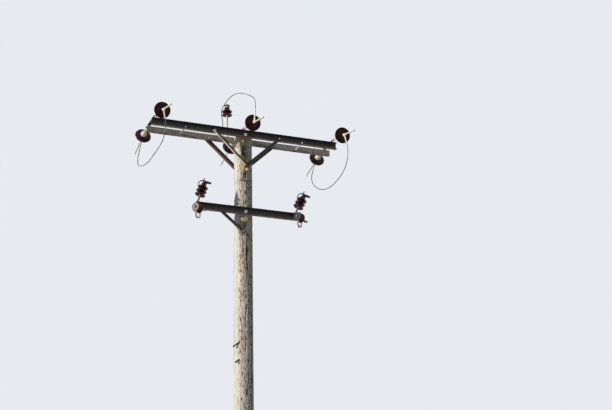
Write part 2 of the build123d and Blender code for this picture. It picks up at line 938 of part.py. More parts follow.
def lower_post(x, lean_angle, name):
    """Leaning pin on the arm's upper flange, its shedded insulator and the clamp on top."""
    lean = math.radians(lean_angle)
    base = turning_plane((x, post_y, lower_arm_top), (0, 0, 1), (1, 0, 0))
    bend = Vector(x, post_y, lower_arm_top + post_collar_height)
    direction = Vector(math.sin(lean), 0, math.cos(lean))
    tilted = turning_plane(bend, direction, (0, 1, 0))
    insulator_top = post_stem + (post_sheds + 0.2) * post_shed_pitch
    pin_top = post_stem + post_shed_pitch
    with BuildPart() as pin:
        turned(
            base,
            (
                (0, -front_flange - nut_thickness - rod_end),
                (post_radius, -front_flange - nut_thickness - rod_end),
                (post_radius, 0),
                (post_collar_radius, 0),
                (post_collar_radius, post_collar_height),
                (0, post_collar_height),
            ),
        )
        with BuildSketch(Plane.XY.offset(lower_arm_top - front_flange)):
            with Locations((x, post_y)):
                RegularPolygon(post_nut_radius, 6)
        extrude(amount=-nut_thickness)
        turned(tilted, ((0, -8), (post_radius, -8), (post_radius, pin_top), (0, pin_top)))
    write(pin.part, f"{name}_post_pin")

    with BuildPart() as insulator:
        turned(
            tilted,
            [(post_radius + fit_clearance, post_stem)]
            + shed_outline(post_core_radius, post_shed_radius, post_shed_pitch, post_sheds, post_stem)
            + [
                (post_core_radius, insulator_top),
                (0, insulator_top),
                (0, pin_top + fit_clearance),
                (post_radius + fit_clearance, pin_top + fit_clearance),
            ],
        )
    write(insulator.part, f"{name}_post_insulator")

    top = bend + direction * insulator_top
    face = Plane(origin=top, x_dir=direction.cross(Vector(0, 1, 0)) * -1, z_dir=(0, -1, 0))
    with BuildPart() as clamp:
        turned(
            tilted,
            (
                (0, insulator_top),
                (0.8 * post_core_radius, insulator_top),
                (0.6 * post_core_radius, insulator_top + post_lug_height),
                (0, insulator_top + post_lug_height),
            ),
        )
        with BuildSketch(face):
            with BuildLine():
                Polyline((-30, 24), (-26, 36), (84, 52), (92, 30), (30, 10), (-10, 14), close=True)
            make_face()
        extrude(amount=9, both=True)
        with BuildSketch(face):
            with Locations((-22, 48)):
                Rectangle(12, 52)
        extrude(amount=6, both=True)
        with BuildLine(face) as horn_path:
            ThreePointArc((-18, 26), (-66, 6), (-78, -58))
        with BuildSketch(Plane(origin=horn_path.line @ 0, z_dir=horn_path.line % 0)):
            RegularPolygon(horn_radius, 8)
        sweep(path=horn_path.line)
    write(clamp.part, f"{name}_post_clamp")


for name, x, lean_angle in posts:
    lower_post(x, lean_angle, name)


def spool_set(x, above, name):
    """Spool insulator on a bracket under the arm, with its end plate and hanging U-shaped bow."""
    centre = Vector(x, -lower_seat - spool_offset, lower_arm_bottom - above)
    outward = Vector(-0.77, -0.64, 0).normalized()
    sideways = Vector(0, 0, 1).cross(outward)
    half = spool_length / 2
    spindle = turning_plane(centre, outward, sideways)
    with BuildPart() as spool:
        turned(
            spindle,
            (
                (rod_hole, -half),
                (spool_radius - 6, -half),
                (spool_radius, -half + 8),
                (spool_radius - 4, -half + spool_flange),
                (spool_groove_radius, -0.2 * half),
                (spool_groove_radius, 0.2 * half),
                (spool_radius - 4, half - spool_flange),
                (spool_radius, half - 8),
                (spool_radius - 6, half),
                (rod_hole, half),
            ),
        )
    write(spool.part, f"{name}_spool")

    plate = half + bow_thickness + 2 * fit_clearance
    plate_rim = plate + 2 * plate_thickness
    with BuildPart() as end_plate:
        turned(
            spindle,
            (
                (rod_hole, plate),
                (plate_radius, plate),
                (plate_radius, plate_rim),
                (plate_radius - 8, plate_rim),
                (plate_radius - 14, plate + plate_thickness),
                (24, plate + plate_thickness),
                (20, plate_rim),
                (rod_hole, plate_rim),
            ),
        )
    write(end_plate.part, f"{name}_end_plate")

    hang = Plane(origin=centre, x_dir=outward, z_dir=-sideways)
    inner = half + fit_clearance
    outer = inner + bow_thickness
    bow_top = rod_hole + 10
    with BuildPart() as bow:
        with BuildSketch(hang):
            with BuildLine():
                Polyline((-inner, -bow_drop), (-inner, bow_top), (-outer, bow_top), (-outer, -bow_drop))
                ThreePointArc((-outer, -bow_drop), (0, -bow_drop - outer), (outer, -bow_drop))
                Polyline((outer, -bow_drop), (outer, bow_top), (inner, bow_top), (inner, -bow_drop))
                ThreePointArc((inner, -bow_drop), (0, -bow_drop - inner), (-inner, -bow_drop))
            make_face()
        extrude(amount=bow_width / 2, both=True)
        with BuildSketch(Plane(origin=centre, z_dir=outward)):
            Circle(rod_hole)
        extrude(amount=spool_length, both=True, mode=Mode.SUBTRACT)
    write(bow.part, f"{name}_bow")

    back = -half - bow_thickness - 2 * fit_clearance
    with BuildPart() as bracket:
        with BuildSketch(hang):
            with Locations((back - bracket_thickness / 2, 0)):
                Rectangle(bracket_thickness, 64)
            with Locations((back, above - fit_clearance)):
                Rectangle(bracket_length, bracket_thickness, align=(Align.MAX, Align.MAX))
        extrude(amount=bracket_width / 2, both=True)
        turned(
            spindle,
            (
                (0, back - bracket_thickness - nut_thickness),
                (rod_radius, back - bracket_thickness - nut_thickness),
                (rod_radius, plate_rim + nut_thickness + rod_end),
                (0, plate_rim + nut_thickness + rod_end),
            ),
        )
        with BuildSketch(Plane(origin=centre + outward * plate_rim, z_dir=outward)):
            RegularPolygon(nut_radius, 6)
        extrude(amount=nut_thickness)
    write(bracket.part, f"{name}_spool_bracket")


for name, x, above in spools:
    spool_set(x, above, name)
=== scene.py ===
"""Wooden utility pole: timber, ironwork, porcelain, wires and stage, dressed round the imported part.

Metres, in the part's own frame: the origin is the pole's foot at ground level, +Z is up, +X runs
along the crossarms and -Y is the front. Profiles of turned pieces are in millimetres.
"""
import math

import bpy
import numpy as np
from mathutils import Matrix


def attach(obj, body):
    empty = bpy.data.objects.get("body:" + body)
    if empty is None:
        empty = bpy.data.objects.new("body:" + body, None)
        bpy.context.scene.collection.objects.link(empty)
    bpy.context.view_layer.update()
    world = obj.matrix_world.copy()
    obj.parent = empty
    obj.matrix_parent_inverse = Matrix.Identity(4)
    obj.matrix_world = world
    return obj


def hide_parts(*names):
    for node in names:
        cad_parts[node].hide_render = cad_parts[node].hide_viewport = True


bl_info = {
    "name": "Wooden utility pole",
    "version": (1, 0, 0),
    "blender": (4, 5, 0),
    "location": "3D View > Sidebar > Pole",
    "description": "Dresses the packed utility pole: timber, ironwork, porcelain, wires and stage",
    "category": "Object",
}

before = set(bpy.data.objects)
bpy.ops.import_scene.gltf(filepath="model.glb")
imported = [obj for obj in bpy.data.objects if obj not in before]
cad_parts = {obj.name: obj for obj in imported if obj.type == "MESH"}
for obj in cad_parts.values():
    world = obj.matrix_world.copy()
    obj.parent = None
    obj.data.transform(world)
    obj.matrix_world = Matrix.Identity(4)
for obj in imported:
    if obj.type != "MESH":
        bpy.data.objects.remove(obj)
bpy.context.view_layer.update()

MM = 0.001
BODY = "root"
ALONG = np.array([1.0, 0.0, 0.0])
BACK = np.array([0.0, 1.0, 0.0])
UP = np.array([0.0, 0.0, 1.0])
PIECE_SHARP = 38.0
CORNER_STEPS = 3

# The log and the arms that it carries
POLE_HEIGHT = 9.845
GROUND_RADIUS = 0.156
TOP_RADIUS = 0.1235
ROOF_SLOPE = math.tan(math.radians(12.0))
EAVES_DROP = 0.003
ARM_HEIGHT = 9.800
FRONT_SEAT_Y = -0.115
BACK_SEAT_Y = 0.115
LOWER_SEAT_Y = -0.1194
FRONT_ARM_LOW = 9.750
BACK_ARM_LOW = 9.757
LOWER_ARM_LOW = 8.600
LOWER_ARM_HIGH = 8.700

# The strain strings
LINES = {"left": -1.325, "middle": -0.045, "right": 1.280}
SIDES = {"front": -1.0, "back": 1.0}
STRINGS = [(place, line) for place in SIDES for line in LINES]
STRING_START = 0.2732
STRAP_MIDDLE = 9.855
DROOP = math.radians(13.2)
CAP_TOP = {"front": 190.0, "back": 65.0}
DISC_LENGTH = 140.0
DISC_RADIUS = 114.0
CLAMP_LENGTH = 400.0


# Numpy surfaces


def unit(vector):
    """The vector, or each row of vectors, over its length."""
    vector = np.asarray(vector, float)
    return vector / np.linalg.norm(vector, axis=-1, keepdims=True)


def round_angles(count):
    """Angles in even steps once round, in radians."""
    return np.linspace(0, 2 * np.pi, count, endpoint=False)


def across_axis(axis, across):
    """Two unit vectors square to an axis, the first as near to across as it can be."""
    axis = unit(axis)
    first = unit(np.asarray(across, float) - axis * np.dot(axis, across))
    return first, np.cross(axis, first)


def grid(points, wrap_rows=False, start=None, end=None, masks=None):
    """Closed surface from points[row, column], whose columns join round.

    The first and the last row are closed with a fan round the point given as start or end, or
    round the row's mean; with wrap_rows the last row joins the first instead.
    """
    rows, columns = points.shape[:2]
    last = rows if wrap_rows else rows - 1
    r, c = np.meshgrid(np.arange(last), np.arange(columns), indexing="ij")
    r, c = r.ravel() * columns, c.ravel()
    below, right = (r + columns) % (rows * columns), (c + 1) % columns
    quads = np.stack([r + c, r + right, below + right, below + c], 1)
    vertices = points.reshape(-1, 3)
    masks = {name: np.asarray(mask, float).reshape(-1) for name, mask in (masks or {}).items()}
    triangles = np.zeros((0, 3), int)
    if not wrap_rows:
        start = points[0].mean(0) if start is None else start
        end = points[-1].mean(0) if end is None else end
        ring = np.arange(columns)
        turn = (ring + 1) % columns
        count = len(vertices)
        top = (rows - 1) * columns
        low_fan = np.stack([turn, ring, np.full(columns, count)], 1)
        high_fan = np.stack([top + ring, top + turn, np.full(columns, count + 1)], 1)
        triangles = np.concatenate([low_fan, high_fan])
        vertices = np.concatenate([vertices, [start, end]])
        masks = {
            name: np.concatenate([mask, [mask[:columns].mean(), mask[-columns:].mean()]])
            for name, mask in masks.items()
        }
    return outward({"points": vertices, "quads": quads, "triangles": triangles, "masks": masks})


def outward(surface):
    """The surface with its faces turned so that its volume, a sum over triangles, is above zero."""
    points, quads = surface["points"], surface["quads"]
    corners = np.concatenate([surface["triangles"], quads[:, [0, 1, 2]], quads[:, [0, 2, 3]]])
    p = points[corners] - points.mean(0)
    volume = np.einsum("ij,ij->i", p[:, 0], np.cross(p[:, 1], p[:, 2])).sum()
    if volume < 0:
        surface["quads"] = quads[:, ::-1]
        surface["triangles"] = surface["triangles"][:, ::-1]
    return surface


def eased(profile, radius):
    """Polyline whose corners are rounded: near each one, a quadratic curve between two points.

    The two points lie on the runs beside the corner, radius away or 0.45 of a shorter run.
    """
    profile = np.asarray(profile, float)
    corner = profile[1:-1]
    ends = []
    for neighbour in (profile[:-2], profile[2:]):
        run = neighbour - corner
        length = np.linalg.norm(run, axis=1, keepdims=True)
        ends.append((corner + run / length * np.minimum(radius, 0.45 * length))[:, None])
    t = np.linspace(0, 1, CORNER_STEPS)[None, :, None]
    curve = (1 - t) ** 2 * ends[0] + 2 * t * (1 - t) * corner[:, None] + t**2 * ends[1]
    return np.concatenate([profile[:1], curve.reshape(-1, profile.shape[1]), profile[-1:]])


def turned(profile, origin, axis, across=ALONG, columns=48, limit=None, mask=None, ring=False):
    """Surface of revolution from a profile of (radius, height) in millimetres.

    Point = origin + height * axis + radius * (cos a * first + sin a * second) for angles a round
    the axis. limit holds the largest radius at each angle, for hexagons. mask is a function of the
    profile's rows, stored as the surface's rim mask. ring joins the profile's end to its start.
    """
    profile = np.asarray(profile, float)
    origin, axis = np.asarray(origin, float), unit(axis)
    first, second = across_axis(axis, across)
    rim = np.zeros(len(profile)) if mask is None else np.asarray(mask(profile), float)
    start, end = (origin + profile[n, 1] * MM * axis for n in (0, -1))
    if not ring:
        keep = np.ones(len(profile), bool)
        keep[[0, -1]] = profile[[0, -1], 0] > 1e-6
        profile, rim = profile[keep], rim[keep]
    a = round_angles(columns)
    radii = np.repeat(profile[:, :1] * MM, columns, axis=1)
    if limit is not None:
        radii = np.minimum(radii, limit * MM)
    spokes = np.cos(a)[:, None] * first + np.sin(a)[:, None] * second
    points = origin + profile[:, 1, None, None] * MM * axis + radii[..., None] * spokes
    masks = {"rim": np.repeat(rim[:, None], columns, axis=1)}
    return grid(points, wrap_rows=ring, start=start, end=end, masks=masks)


def nut(origin, axis, radius, thickness, across=ALONG):
    """Hexagon nut with chamfered corners: a turned barrel cut to a hexagon, corner radius in mm.

    The hexagon's side is, at each angle, its apothem over the cosine from the side's middle.
    """
    a = round_angles(36)
    side = radius * math.cos(math.pi / 6) / np.cos(a % (math.pi / 3) - math.pi / 6)
    profile = [
        (0, 0), (0.86 * radius, 0), (radius, 0.14 * thickness), (radius, 0.86 * thickness),
        (0.86 * radius, thickness), (0, thickness),
    ]
    return turned(profile, origin, axis, across, columns=36, limit=side)


def washer(origin, axis, radius, thickness, across):
    """Round plate with softened edges, in mm."""
    profile = eased([(0, 0), (radius, 0), (radius, thickness), (0, thickness)], 0.8)
    return turned(profile, origin, axis, across, columns=32)


def carried(path, tangent, reference, radius):
    """Rings of points round a path: point = path + radius * (cos a * first + sin a * second).

    first is the path's direction crossed with the reference, and second is square to both. radius
    holds a value for each ring and angle.
    """
    first = unit(np.cross(tangent, np.asarray(reference, float)))
    second = np.cross(tangent, first)
    a = round_angles(radius.shape[1])[None, :, None]
    spokes = np.cos(a) * first[:, None] + np.sin(a) * second[:, None]
    return path[:, None] + radius[..., None] * spokes


def tube(path, radius, reference, sides, ring=False):
    """Round section carried along a path: each ring is square to the path's direction.

    radius is a length or one per point; ring joins the path's end to its start.
    """
    path = np.asarray(path, float)
    if ring:
        tangent = unit(np.roll(path, -1, axis=0) - np.roll(path, 1, axis=0))
    else:
        tangent = unit(np.gradient(path, axis=0))
    radius = np.broadcast_to(np.asarray(radius, float), (len(path),))[:, None] * np.ones(sides)
    return grid(carried(path, tangent, reference, radius), wrap_rows=ring)


def slab(outline, thickness, origin, right, up, bevel):
    """Flat plate from a closed outline in mm, with bevelled edges.

    Rows of points run from one face over the edge to the other; a face's row is the outline drawn
    in towards its mean by the bevel.
    """
    outline = np.asarray(outline, float)
    middle = outline.mean(0)
    reach = np.linalg.norm(outline - middle, axis=1, keepdims=True)
    inset = middle + (outline - middle) * (1 - bevel / reach)
    half = thickness / 2
    rows = [(inset, -half), (outline, bevel - half), (outline, half - bevel), (inset, half)]
    right, up = unit(right), unit(up)
    normal = np.cross(right, up)
    return grid(np.stack([
        np.asarray(origin, float) + (flat[:, :1] * right + flat[:, 1:] * up + height * normal) * MM
        for flat, height in rows
    ]))


def noise(u, v, across, along, seed):
    """Smooth noise from -1 to 1 that repeats round u.

    Random values on a lattice of across by along cells, blended with s = t * t * (3 - 2 t).
    """
    lattice = np.random.default_rng(seed).uniform(-1, 1, (across, along + 2))
    x, y = (u % 1.0) * across, np.clip(v, 0, 1) * along
    i, j = np.floor(x).astype(int), np.floor(y).astype(int)
    s, t = x - i, y - j
    s, t = s * s * (3 - 2 * s), t * t * (3 - 2 * t)
    i, n = i % across, (i + 1) % across
    low = lattice[i, j] * (1 - s) + lattice[n, j] * s
    high = lattice[i, j + 1] * (1 - s) + lattice[n, j + 1] * s
    return low * (1 - t) + high * t


def linked(name, data):
    """New object in the scene from its data."""
    made = bpy.data.objects.new(name, data)
    bpy.context.scene.collection.objects.link(made)
    return made


def mesh_object(name, surfaces, material, sharp):
    """One object from surfaces: their arrays joined, put in the mesh and smoothed."""
    offset = np.cumsum([0] + [len(s["points"]) for s in surfaces])
    points = np.concatenate([s["points"] for s in surfaces])
    quads, triangles = (
        np.concatenate([s[kind] + o for s, o in zip(surfaces, offset)]) for kind in ("quads", "triangles")
    )
    corners = np.concatenate([quads.ravel(), triangles.ravel()])
    starts = np.concatenate([np.arange(len(quads)) * 4, quads.size + np.arange(len(triangles)) * 3])
    mesh = bpy.data.meshes.new(name)
    mesh.vertices.add(len(points))
    mesh.vertices.foreach_set("co", points.astype(np.float32).ravel())
    mesh.loops.add(len(corners))
    mesh.loops.foreach_set("vertex_index", corners.astype(np.int32))
    mesh.polygons.add(len(starts))
    mesh.polygons.foreach_set("loop_start", starts.astype(np.int32))
    mesh.update(calc_edges=True)
    mesh.validate()
    for mask in sorted({m for s in surfaces for m in s["masks"]}):
        values = np.concatenate([s["masks"].get(mask, np.zeros(len(s["points"]))) for s in surfaces])
        layer = mesh.attributes.new(mask, "FLOAT", "POINT")
        layer.data.foreach_set("value", values.astype(np.float32))
    mesh.shade_smooth()
    mesh.set_sharp_from_angle(angle=math.radians(sharp))
    mesh.materials.append(material)
    return linked(name, mesh)


def make_piece(name, surfaces, material, replaced=(), sharp=PIECE_SHARP):
    """Piece from surfaces, set on the body, with the nodes it stands for hidden."""
    piece = mesh_object(name, surfaces, material, sharp)
    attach(piece, BODY)
    if replaced:
        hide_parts(*replaced)
    return piece


def dress(node, finish, surfaces, material, sharp=PIECE_SHARP):
    """Piece that stands for one node of the part and is named for that node and its finish."""
    return make_piece(f"{node}_{finish}", surfaces, material, [node], sharp)


def string_frame(place, line):
    """Where a strain string's link ring hangs in its shackle, and the string's unit axis outwards."""
    side = SIDES[place]
    axis = np.array([0.0, side * math.cos(DROOP), -math.sin(DROOP)])
    return np.array([LINES[line], side * STRING_START, STRAP_MIDDLE]), axis


# Materials


def paint(red, green, blue):
    """Linear colour from the 0 to 255 values of a screen colour, with alpha 1."""
    parts = [value / 255 for value in (red, green, blue)]
    parts = [p / 12.92 if p <= 0.04045 else ((p + 0.055) / 1.055) ** 2.4 for p in parts]
    return (*parts, 1.0)


def feed(tree, node, inputs):
    """Link each input of a node where a socket is given for it, or set its value."""
    for key, value in inputs.items():
        if isinstance(value, bpy.types.NodeSocket):
            tree.links.new(value, node.inputs[key])
        else:
            node.inputs[key].default_value = value


def add(tree, kind, inputs=None, **settings):
    """New node with its settings and its inputs."""
    node = tree.nodes.new(kind)
    for key, value in settings.items():
        setattr(node, key, value)
    feed(tree, node, inputs or {})
    return node


def maths(tree, operation, *values, clamp=False):
    """Result of a Math node."""
    node = add(tree, "ShaderNodeMath", dict(enumerate(values)), operation=operation, use_clamp=clamp)
    return node.outputs[0]


def times(tree, first, second, clamp=False):
    """Product of two values."""
    return maths(tree, "MULTIPLY", first, second, clamp=clamp)


def spread(tree, value, low, high, to_low=0.0, to_high=1.0):
    """Value carried from one range to another, smoothly and clamped."""
    inputs = {"Value": value, "From Min": low, "From Max": high, "To Min": to_low, "To Max": to_high}
    return add(tree, "ShaderNodeMapRange", inputs, interpolation_type="SMOOTHSTEP").outputs["Result"]


def blended(tree, factor, first, second):
    """Colour between two others: inputs 6 and 7 of a Mix node are its two colours."""
    return add(tree, "ShaderNodeMix", {0: factor, 6: first, 7: second}, data_type="RGBA").outputs[2]


def speckle(tree, vector, scale, detail, **inputs):
    """Fractal noise from 0 to 1."""
    inputs = {"Vector": vector, "Scale": scale, "Detail": detail, **inputs}
    return add(tree, "ShaderNodeTexNoise", inputs).outputs["Fac"]


def shared(tree, name, inputs, outputs, fill):
    """Outputs of a node group placed in a tree with its own inputs.

    The group is built on first use. A socket is a colour where its name ends in Color, a vector
    where it is Vector, and else a number.
    """
    group = bpy.data.node_groups.get(name)
    if group is None:
        group = bpy.data.node_groups.new(name, "ShaderNodeTree")
        for side, labels in (("INPUT", inputs), ("OUTPUT", outputs)):
            for label in labels:
                kind = {"Color": "Color", "Vector": "Vector"}.get(label.split()[-1], "Float")
                group.interface.new_socket(name=label, in_out=side, socket_type=f"NodeSocket{kind}")
        given, result = group.nodes.new("NodeGroupInput"), group.nodes.new("NodeGroupOutput")
        for label, socket in fill(group, given.outputs).items():
            group.links.new(socket, result.inputs[label])
    return add(tree, "ShaderNodeGroup", inputs, node_tree=group).outputs


def grain(tree, vector, across, along, line_width):
    """Long fibres along Z: noise on coordinates squeezed along the log, and thin dark lines where a
    second such noise passes through its middle value."""

    def fill(tree, given):
        squeeze = add(tree, "ShaderNodeCombineXYZ", {
            "X": given["Across"], "Y": given["Across"], "Z": given["Along"],
        }).outputs[0]
        inputs = {0: given["Vector"], 1: squeeze}
        stretched = add(tree, "ShaderNodeVectorMath", inputs, operation="MULTIPLY").outputs[0]
        broad = speckle(tree, stretched, 1.0, 5.0, Roughness=0.6)
        fine = speckle(tree, stretched, 2.3, 3.0, Roughness=0.5, Distortion=0.3)
        off_middle = maths(tree, "ABSOLUTE", maths(tree, "SUBTRACT", fine, 0.5))
        return {"Streak": broad, "Line": spread(tree, off_middle, given["Line Width"], 0.0)}

    inputs = {"Vector": vector, "Across": across, "Along": along, "Line Width": line_width}
    return shared(tree, "grain", inputs, ("Streak", "Line"), fill)


def patches(tree, vector, scale, low, high):
    """Soft-edged patches: fractal noise carried from low..high to 0..1."""

    def fill(tree, given):
        cloud = speckle(tree, given["Vector"], given["Scale"], 6.0, Roughness=0.62)
        return {"Mask": spread(tree, cloud, given["Low"], given["High"]), "Cloud": cloud}

    inputs = {"Vector": vector, "Scale": scale, "Low": low, "High": high}
    return shared(tree, "patches", inputs, ("Mask", "Cloud"), fill)


def weathered_metal(tree, values):
    """Zinc coating after years outdoors: crystal spangle, rain streaks, rust patches and grime."""

    def fill(tree, given):
        place = given["Vector"]
        spangle = add(tree, "ShaderNodeTexVoronoi", {"Vector": place, "Scale": given["Spangle"]})
        cell = add(tree, "ShaderNodeSeparateColor", {0: spangle.outputs["Color"]}).outputs[0]
        tone = spread(tree, cell, 0.0, 1.0, 0.86, 1.1)
        inputs = {0: given["Metal Color"], "Scale": tone}
        toned = add(tree, "ShaderNodeVectorMath", inputs, operation="SCALE").outputs[0]
        streak = grain(tree, place, across=38.0, along=5.0, line_width=0.04)["Streak"]
        grime = times(tree, spread(tree, streak, 0.42, 0.72), given["Grime"])
        dull = blended(tree, grime, toned, given["Grime Color"])
        spots = patches(tree, place, scale=26.0, low=0.52, high=0.68)["Mask"]
        spots = times(tree, spots, given["Rust"], clamp=True)
        rusty = maths(tree, "MAXIMUM", spots, given["Edge"], clamp=True)
        rough = maths(tree, "ADD", given["Base Roughness"], times(tree, rusty, 0.35), clamp=True)
        height = maths(tree, "ADD", times(tree, rusty, 0.6), speckle(tree, place, 420.0, 3.0))
        metal = maths(tree, "SUBTRACT", given["Metal"], times(tree, rusty, given["Metal"]))
        colour = blended(tree, rusty, dull, given["Rust Color"])
        return {"Color": colour, "Roughness": rough, "Height": height, "Metallic": metal}

    return shared(tree, "weathered_metal", values, ("Color", "Roughness", "Height", "Metallic"), fill)


def new_material(name):
    """Material with its tree, Principled shader and Object coordinates; no tree if it is there."""
    material = bpy.data.materials.get(name)
    if material:
        return material, None, None, None
    material = bpy.data.materials.new(name)
    material.use_nodes = True
    tree = material.node_tree
    place = tree.nodes.new("ShaderNodeTexCoord").outputs["Object"]
    return material, tree, tree.nodes["Principled BSDF"], place


def bumped(tree, height, distance, strength):
    """Normal of a Bump node."""
    inputs = {"Height": height, "Distance": distance, "Strength": strength}
    return add(tree, "ShaderNodeBump", inputs).outputs[0]


def attribute(tree, name):
    """A mask stored on the piece."""
    return add(tree, "ShaderNodeAttribute", attribute_name=name).outputs["Fac"]


def timber_material(settings):
    """Sun-bleached log: fibres, hairline checks, brown flecks, open cracks, end grain and lichen. The side
    facing the key lamp is painted plainer for its highlight, and the cracks, checks and dark spots under
    the arms carry painted shade.
    """
    material, tree, shader, place = new_material("log_timber")
    if tree is None:
        return material
    wide = grain(tree, place, across=34.0, along=1.1, line_width=0.02)
    thin = grain(tree, place, across=120.0, along=5.0, line_width=0.035)
    flecks = grain(tree, place, across=62.0, along=17.0, line_width=0.05)
    cloud = patches(tree, place, scale=3.2, low=0.42, high=0.66)
    base = blended(tree, spread(tree, wide["Streak"], 0.36, 0.64), settings.bleached, settings.grey)
    warm = times(tree, spread(tree, thin["Streak"], 0.5, 0.72), 0.55)
    base = blended(tree, warm, base, settings.warm)
    base = blended(tree, times(tree, cloud["Mask"], 0.2), base, settings.grey)
    off_glare = attribute(tree, "flecked")
    brown = times(tree, spread(tree, flecks["Streak"], 0.53, 0.60), settings.fleck_amount)
    base = blended(tree, times(tree, brown, off_glare), base, settings.fleck)
    # Hairline checks are painted in the crack colour, as the shade in them.
    lines = times(tree, wide["Line"], spread(tree, cloud["Cloud"], 0.4, 0.6, 0.35, 0.9))
    lines = maths(tree, "MAXIMUM", lines, times(tree, thin["Line"], 0.3))
    lines = times(tree, lines, off_glare)
    base = blended(tree, lines, base, settings.crack)
    base = blended(tree, attribute(tree, "knot"), base, settings.fleck)
    base = blended(tree, attribute(tree, "end_grain"), base, settings.end_grain)
    spots = patches(tree, place, scale=26.0, low=0.34, high=0.52)["Mask"]
    # The dark spots under the arms are partly growth and partly painted shade.
    for mask, colour in (("moss", settings.moss), ("lichen", settings.lichen)):
        growth = times(tree, attribute(tree, mask), spots, clamp=True)
        base = blended(tree, growth, base, colour)
    # Open cracks and the scar are painted dark for the shade inside them.
    base = blended(tree, attribute(tree, "crack"), base, settings.crack)
    relief = maths(tree, "ADD", times(tree, thin["Streak"], 0.5), wide["Streak"])
    relief = maths(tree, "SUBTRACT", relief, lines)
    feed(tree, shader, {
        "Base Color": base,
        "Roughness": 0.86,
        "Specular IOR Level": 0.25,
        "Normal": bumped(tree, relief, 0.004, 0.9),
    })
    return material


# How each metal has weathered, as inputs of the weathered_metal group
WEATHERING = {
    "bright": {"Grime": 0.3, "Rust": 0.18, "Metal": 0.15, "Base Roughness": 0.5, "Spangle": 140.0},
    "strap": {"Grime": 0.3, "Rust": 0.18, "Metal": 0.15, "Base Roughness": 0.5, "Spangle": 90.0},
    "dull": {"Grime": 0.5, "Rust": 0.6, "Metal": 0.2, "Base Roughness": 0.6, "Spangle": 110.0},
    "dark": {"Grime": 0.4, "Rust": 0.4, "Metal": 0.2, "Base Roughness": 0.6, "Spangle": 110.0},
    "satin": {"Grime": 0.16, "Rust": 0.0, "Metal": 0.2, "Base Roughness": 0.42, "Spangle": 60.0},
    "rolled": {"Grime": 0.35, "Rust": 0.3, "Metal": 0.2, "Base Roughness": 0.6, "Spangle": 90.0},
}


def metal_material(name, colour, settings, weathering, low_edge=None, under=None):
    """Zinc-coated iron or steel, with rust-brown along a low edge at a given height where there is one:
    partly rust, partly painted light on the lit lower strip.

    under is the colour of the faces that look down, which the mask underside marks; it paints the light or
    shade that falls on them.
    """
    material, tree, shader, place = new_material(name)
    if tree is None:
        return material
    edge = 0.0
    if low_edge is not None:
        height = add(tree, "ShaderNodeSeparateXYZ", {0: place}).outputs["Z"]
        near = spread(tree, height, low_edge + 0.026, low_edge + 0.008)
        edge = times(tree, near, patches(tree, place, scale=18.0, low=0.42, high=0.66)["Mask"])
    if under is not None:
        colour = blended(tree, attribute(tree, "underside"), colour, under)
    metal = weathered_metal(tree, {
        "Vector": place, "Metal Color": colour, "Grime Color": settings.grime,
        "Rust Color": settings.rust, "Edge": edge, **WEATHERING[weathering],
    })
    feed(tree, shader, {
        "Base Color": metal["Color"],
        "Roughness": metal["Roughness"],
        "Metallic": metal["Metallic"],
        "Normal": bumped(tree, metal["Height"], 0.0006, 0.5),
    })
    return material


def glaze_material(settings):
    """Dark brown porcelain glaze, redder where it runs thin on rims, with dust and small pits."""
    material, tree, shader, place = new_material("glazed_porcelain")
    if tree is None:
        return material
    cloud = patches(tree, place, scale=22.0, low=0.35, high=0.7)
    body = blended(tree, cloud["Mask"], settings.glaze, settings.glaze_light)
    thin = times(tree, attribute(tree, "rim"), spread(tree, cloud["Cloud"], 0.3, 0.6, 0.6, 1.0))
    body = blended(tree, thin, body, settings.rim)
    dust = patches(tree, place, scale=70.0, low=0.55, high=0.75)["Mask"]
    body = blended(tree, times(tree, dust, 0.07), body, settings.dust)
    feed(tree, shader, {
        "Base Color": body,
        "Roughness": maths(tree, "ADD", times(tree, dust, 0.3), settings.roughness),
        "Specular IOR Level": 0.16,
        "Coat Weight": 0.08,
        "Coat Roughness": 0.06,
        "Normal": bumped(tree, speckle(tree, place, 60.0, 3.0), 0.0008, 0.4),
    })
    return material


def strand_material(settings):
    """Stranded aluminium wire: dull grey between the strands, with darker weathered lengths."""
    material, tree, shader, place = new_material("stranded_wire")
    if tree is None:
        return material
    cloud = patches(tree, place, scale=9.0, low=0.35, high=0.56)
    colour = blended(tree, cloud["Mask"], settings.wire, settings.wire_dull)
    colour = blended(tree, attribute(tree, "rim"), colour, settings.grime)
    feed(tree, shader, {
        "Base Color": colour,
        "Metallic": 0.3,
        "Roughness": 0.5,
        "Normal": bumped(tree, speckle(tree, place, 500.0, 2.0), 0.0003, 0.4),
    })
    return material


def iron(settings):
    """Bright galvanised iron of the strings, the riser's pin, the spacer rods and the bolts."""
    return metal_material("galvanised_iron", settings.iron, settings, "bright")


def dull_iron(settings):
    """Dull, rust-stained iron of the post pins, the left end plate, the brackets and the bows."""
    return metal_material("dull_iron", settings.dull_iron, settings, "dull")


def dark_iron(settings):
    """Dark, grimy iron of the posts' top clamps, the right end plate and the pegs in the log."""
    return metal_material("dark_iron", settings.dark_shaded_steel, settings, "dark")


# Sizes and colours


def colour_setting(name, description, default):
    """Colour property."""
    return bpy.props.FloatVectorProperty(
        name=name, description=description, default=default, size=4, min=0.0, max=1.0, subtype="COLOR"
    )


def number_setting(name, description, default, **options):
    """Number property, never below zero."""
    return bpy.props.FloatProperty(
        name=name, description=description, default=default, min=0.0, **options
    )


def share_setting(name, description, default):
    """Property from 0 to 1."""
    return number_setting(name, description, default, max=1.0, subtype="FACTOR")


def length_setting(name, description, default):
    """Length property."""
    return number_setting(name, description, default, unit="LENGTH", precision=4)


def settings_group(name, description, kind):
    """Property that holds a group of others."""
    return bpy.props.PointerProperty(name=name, description=description, type=kind)


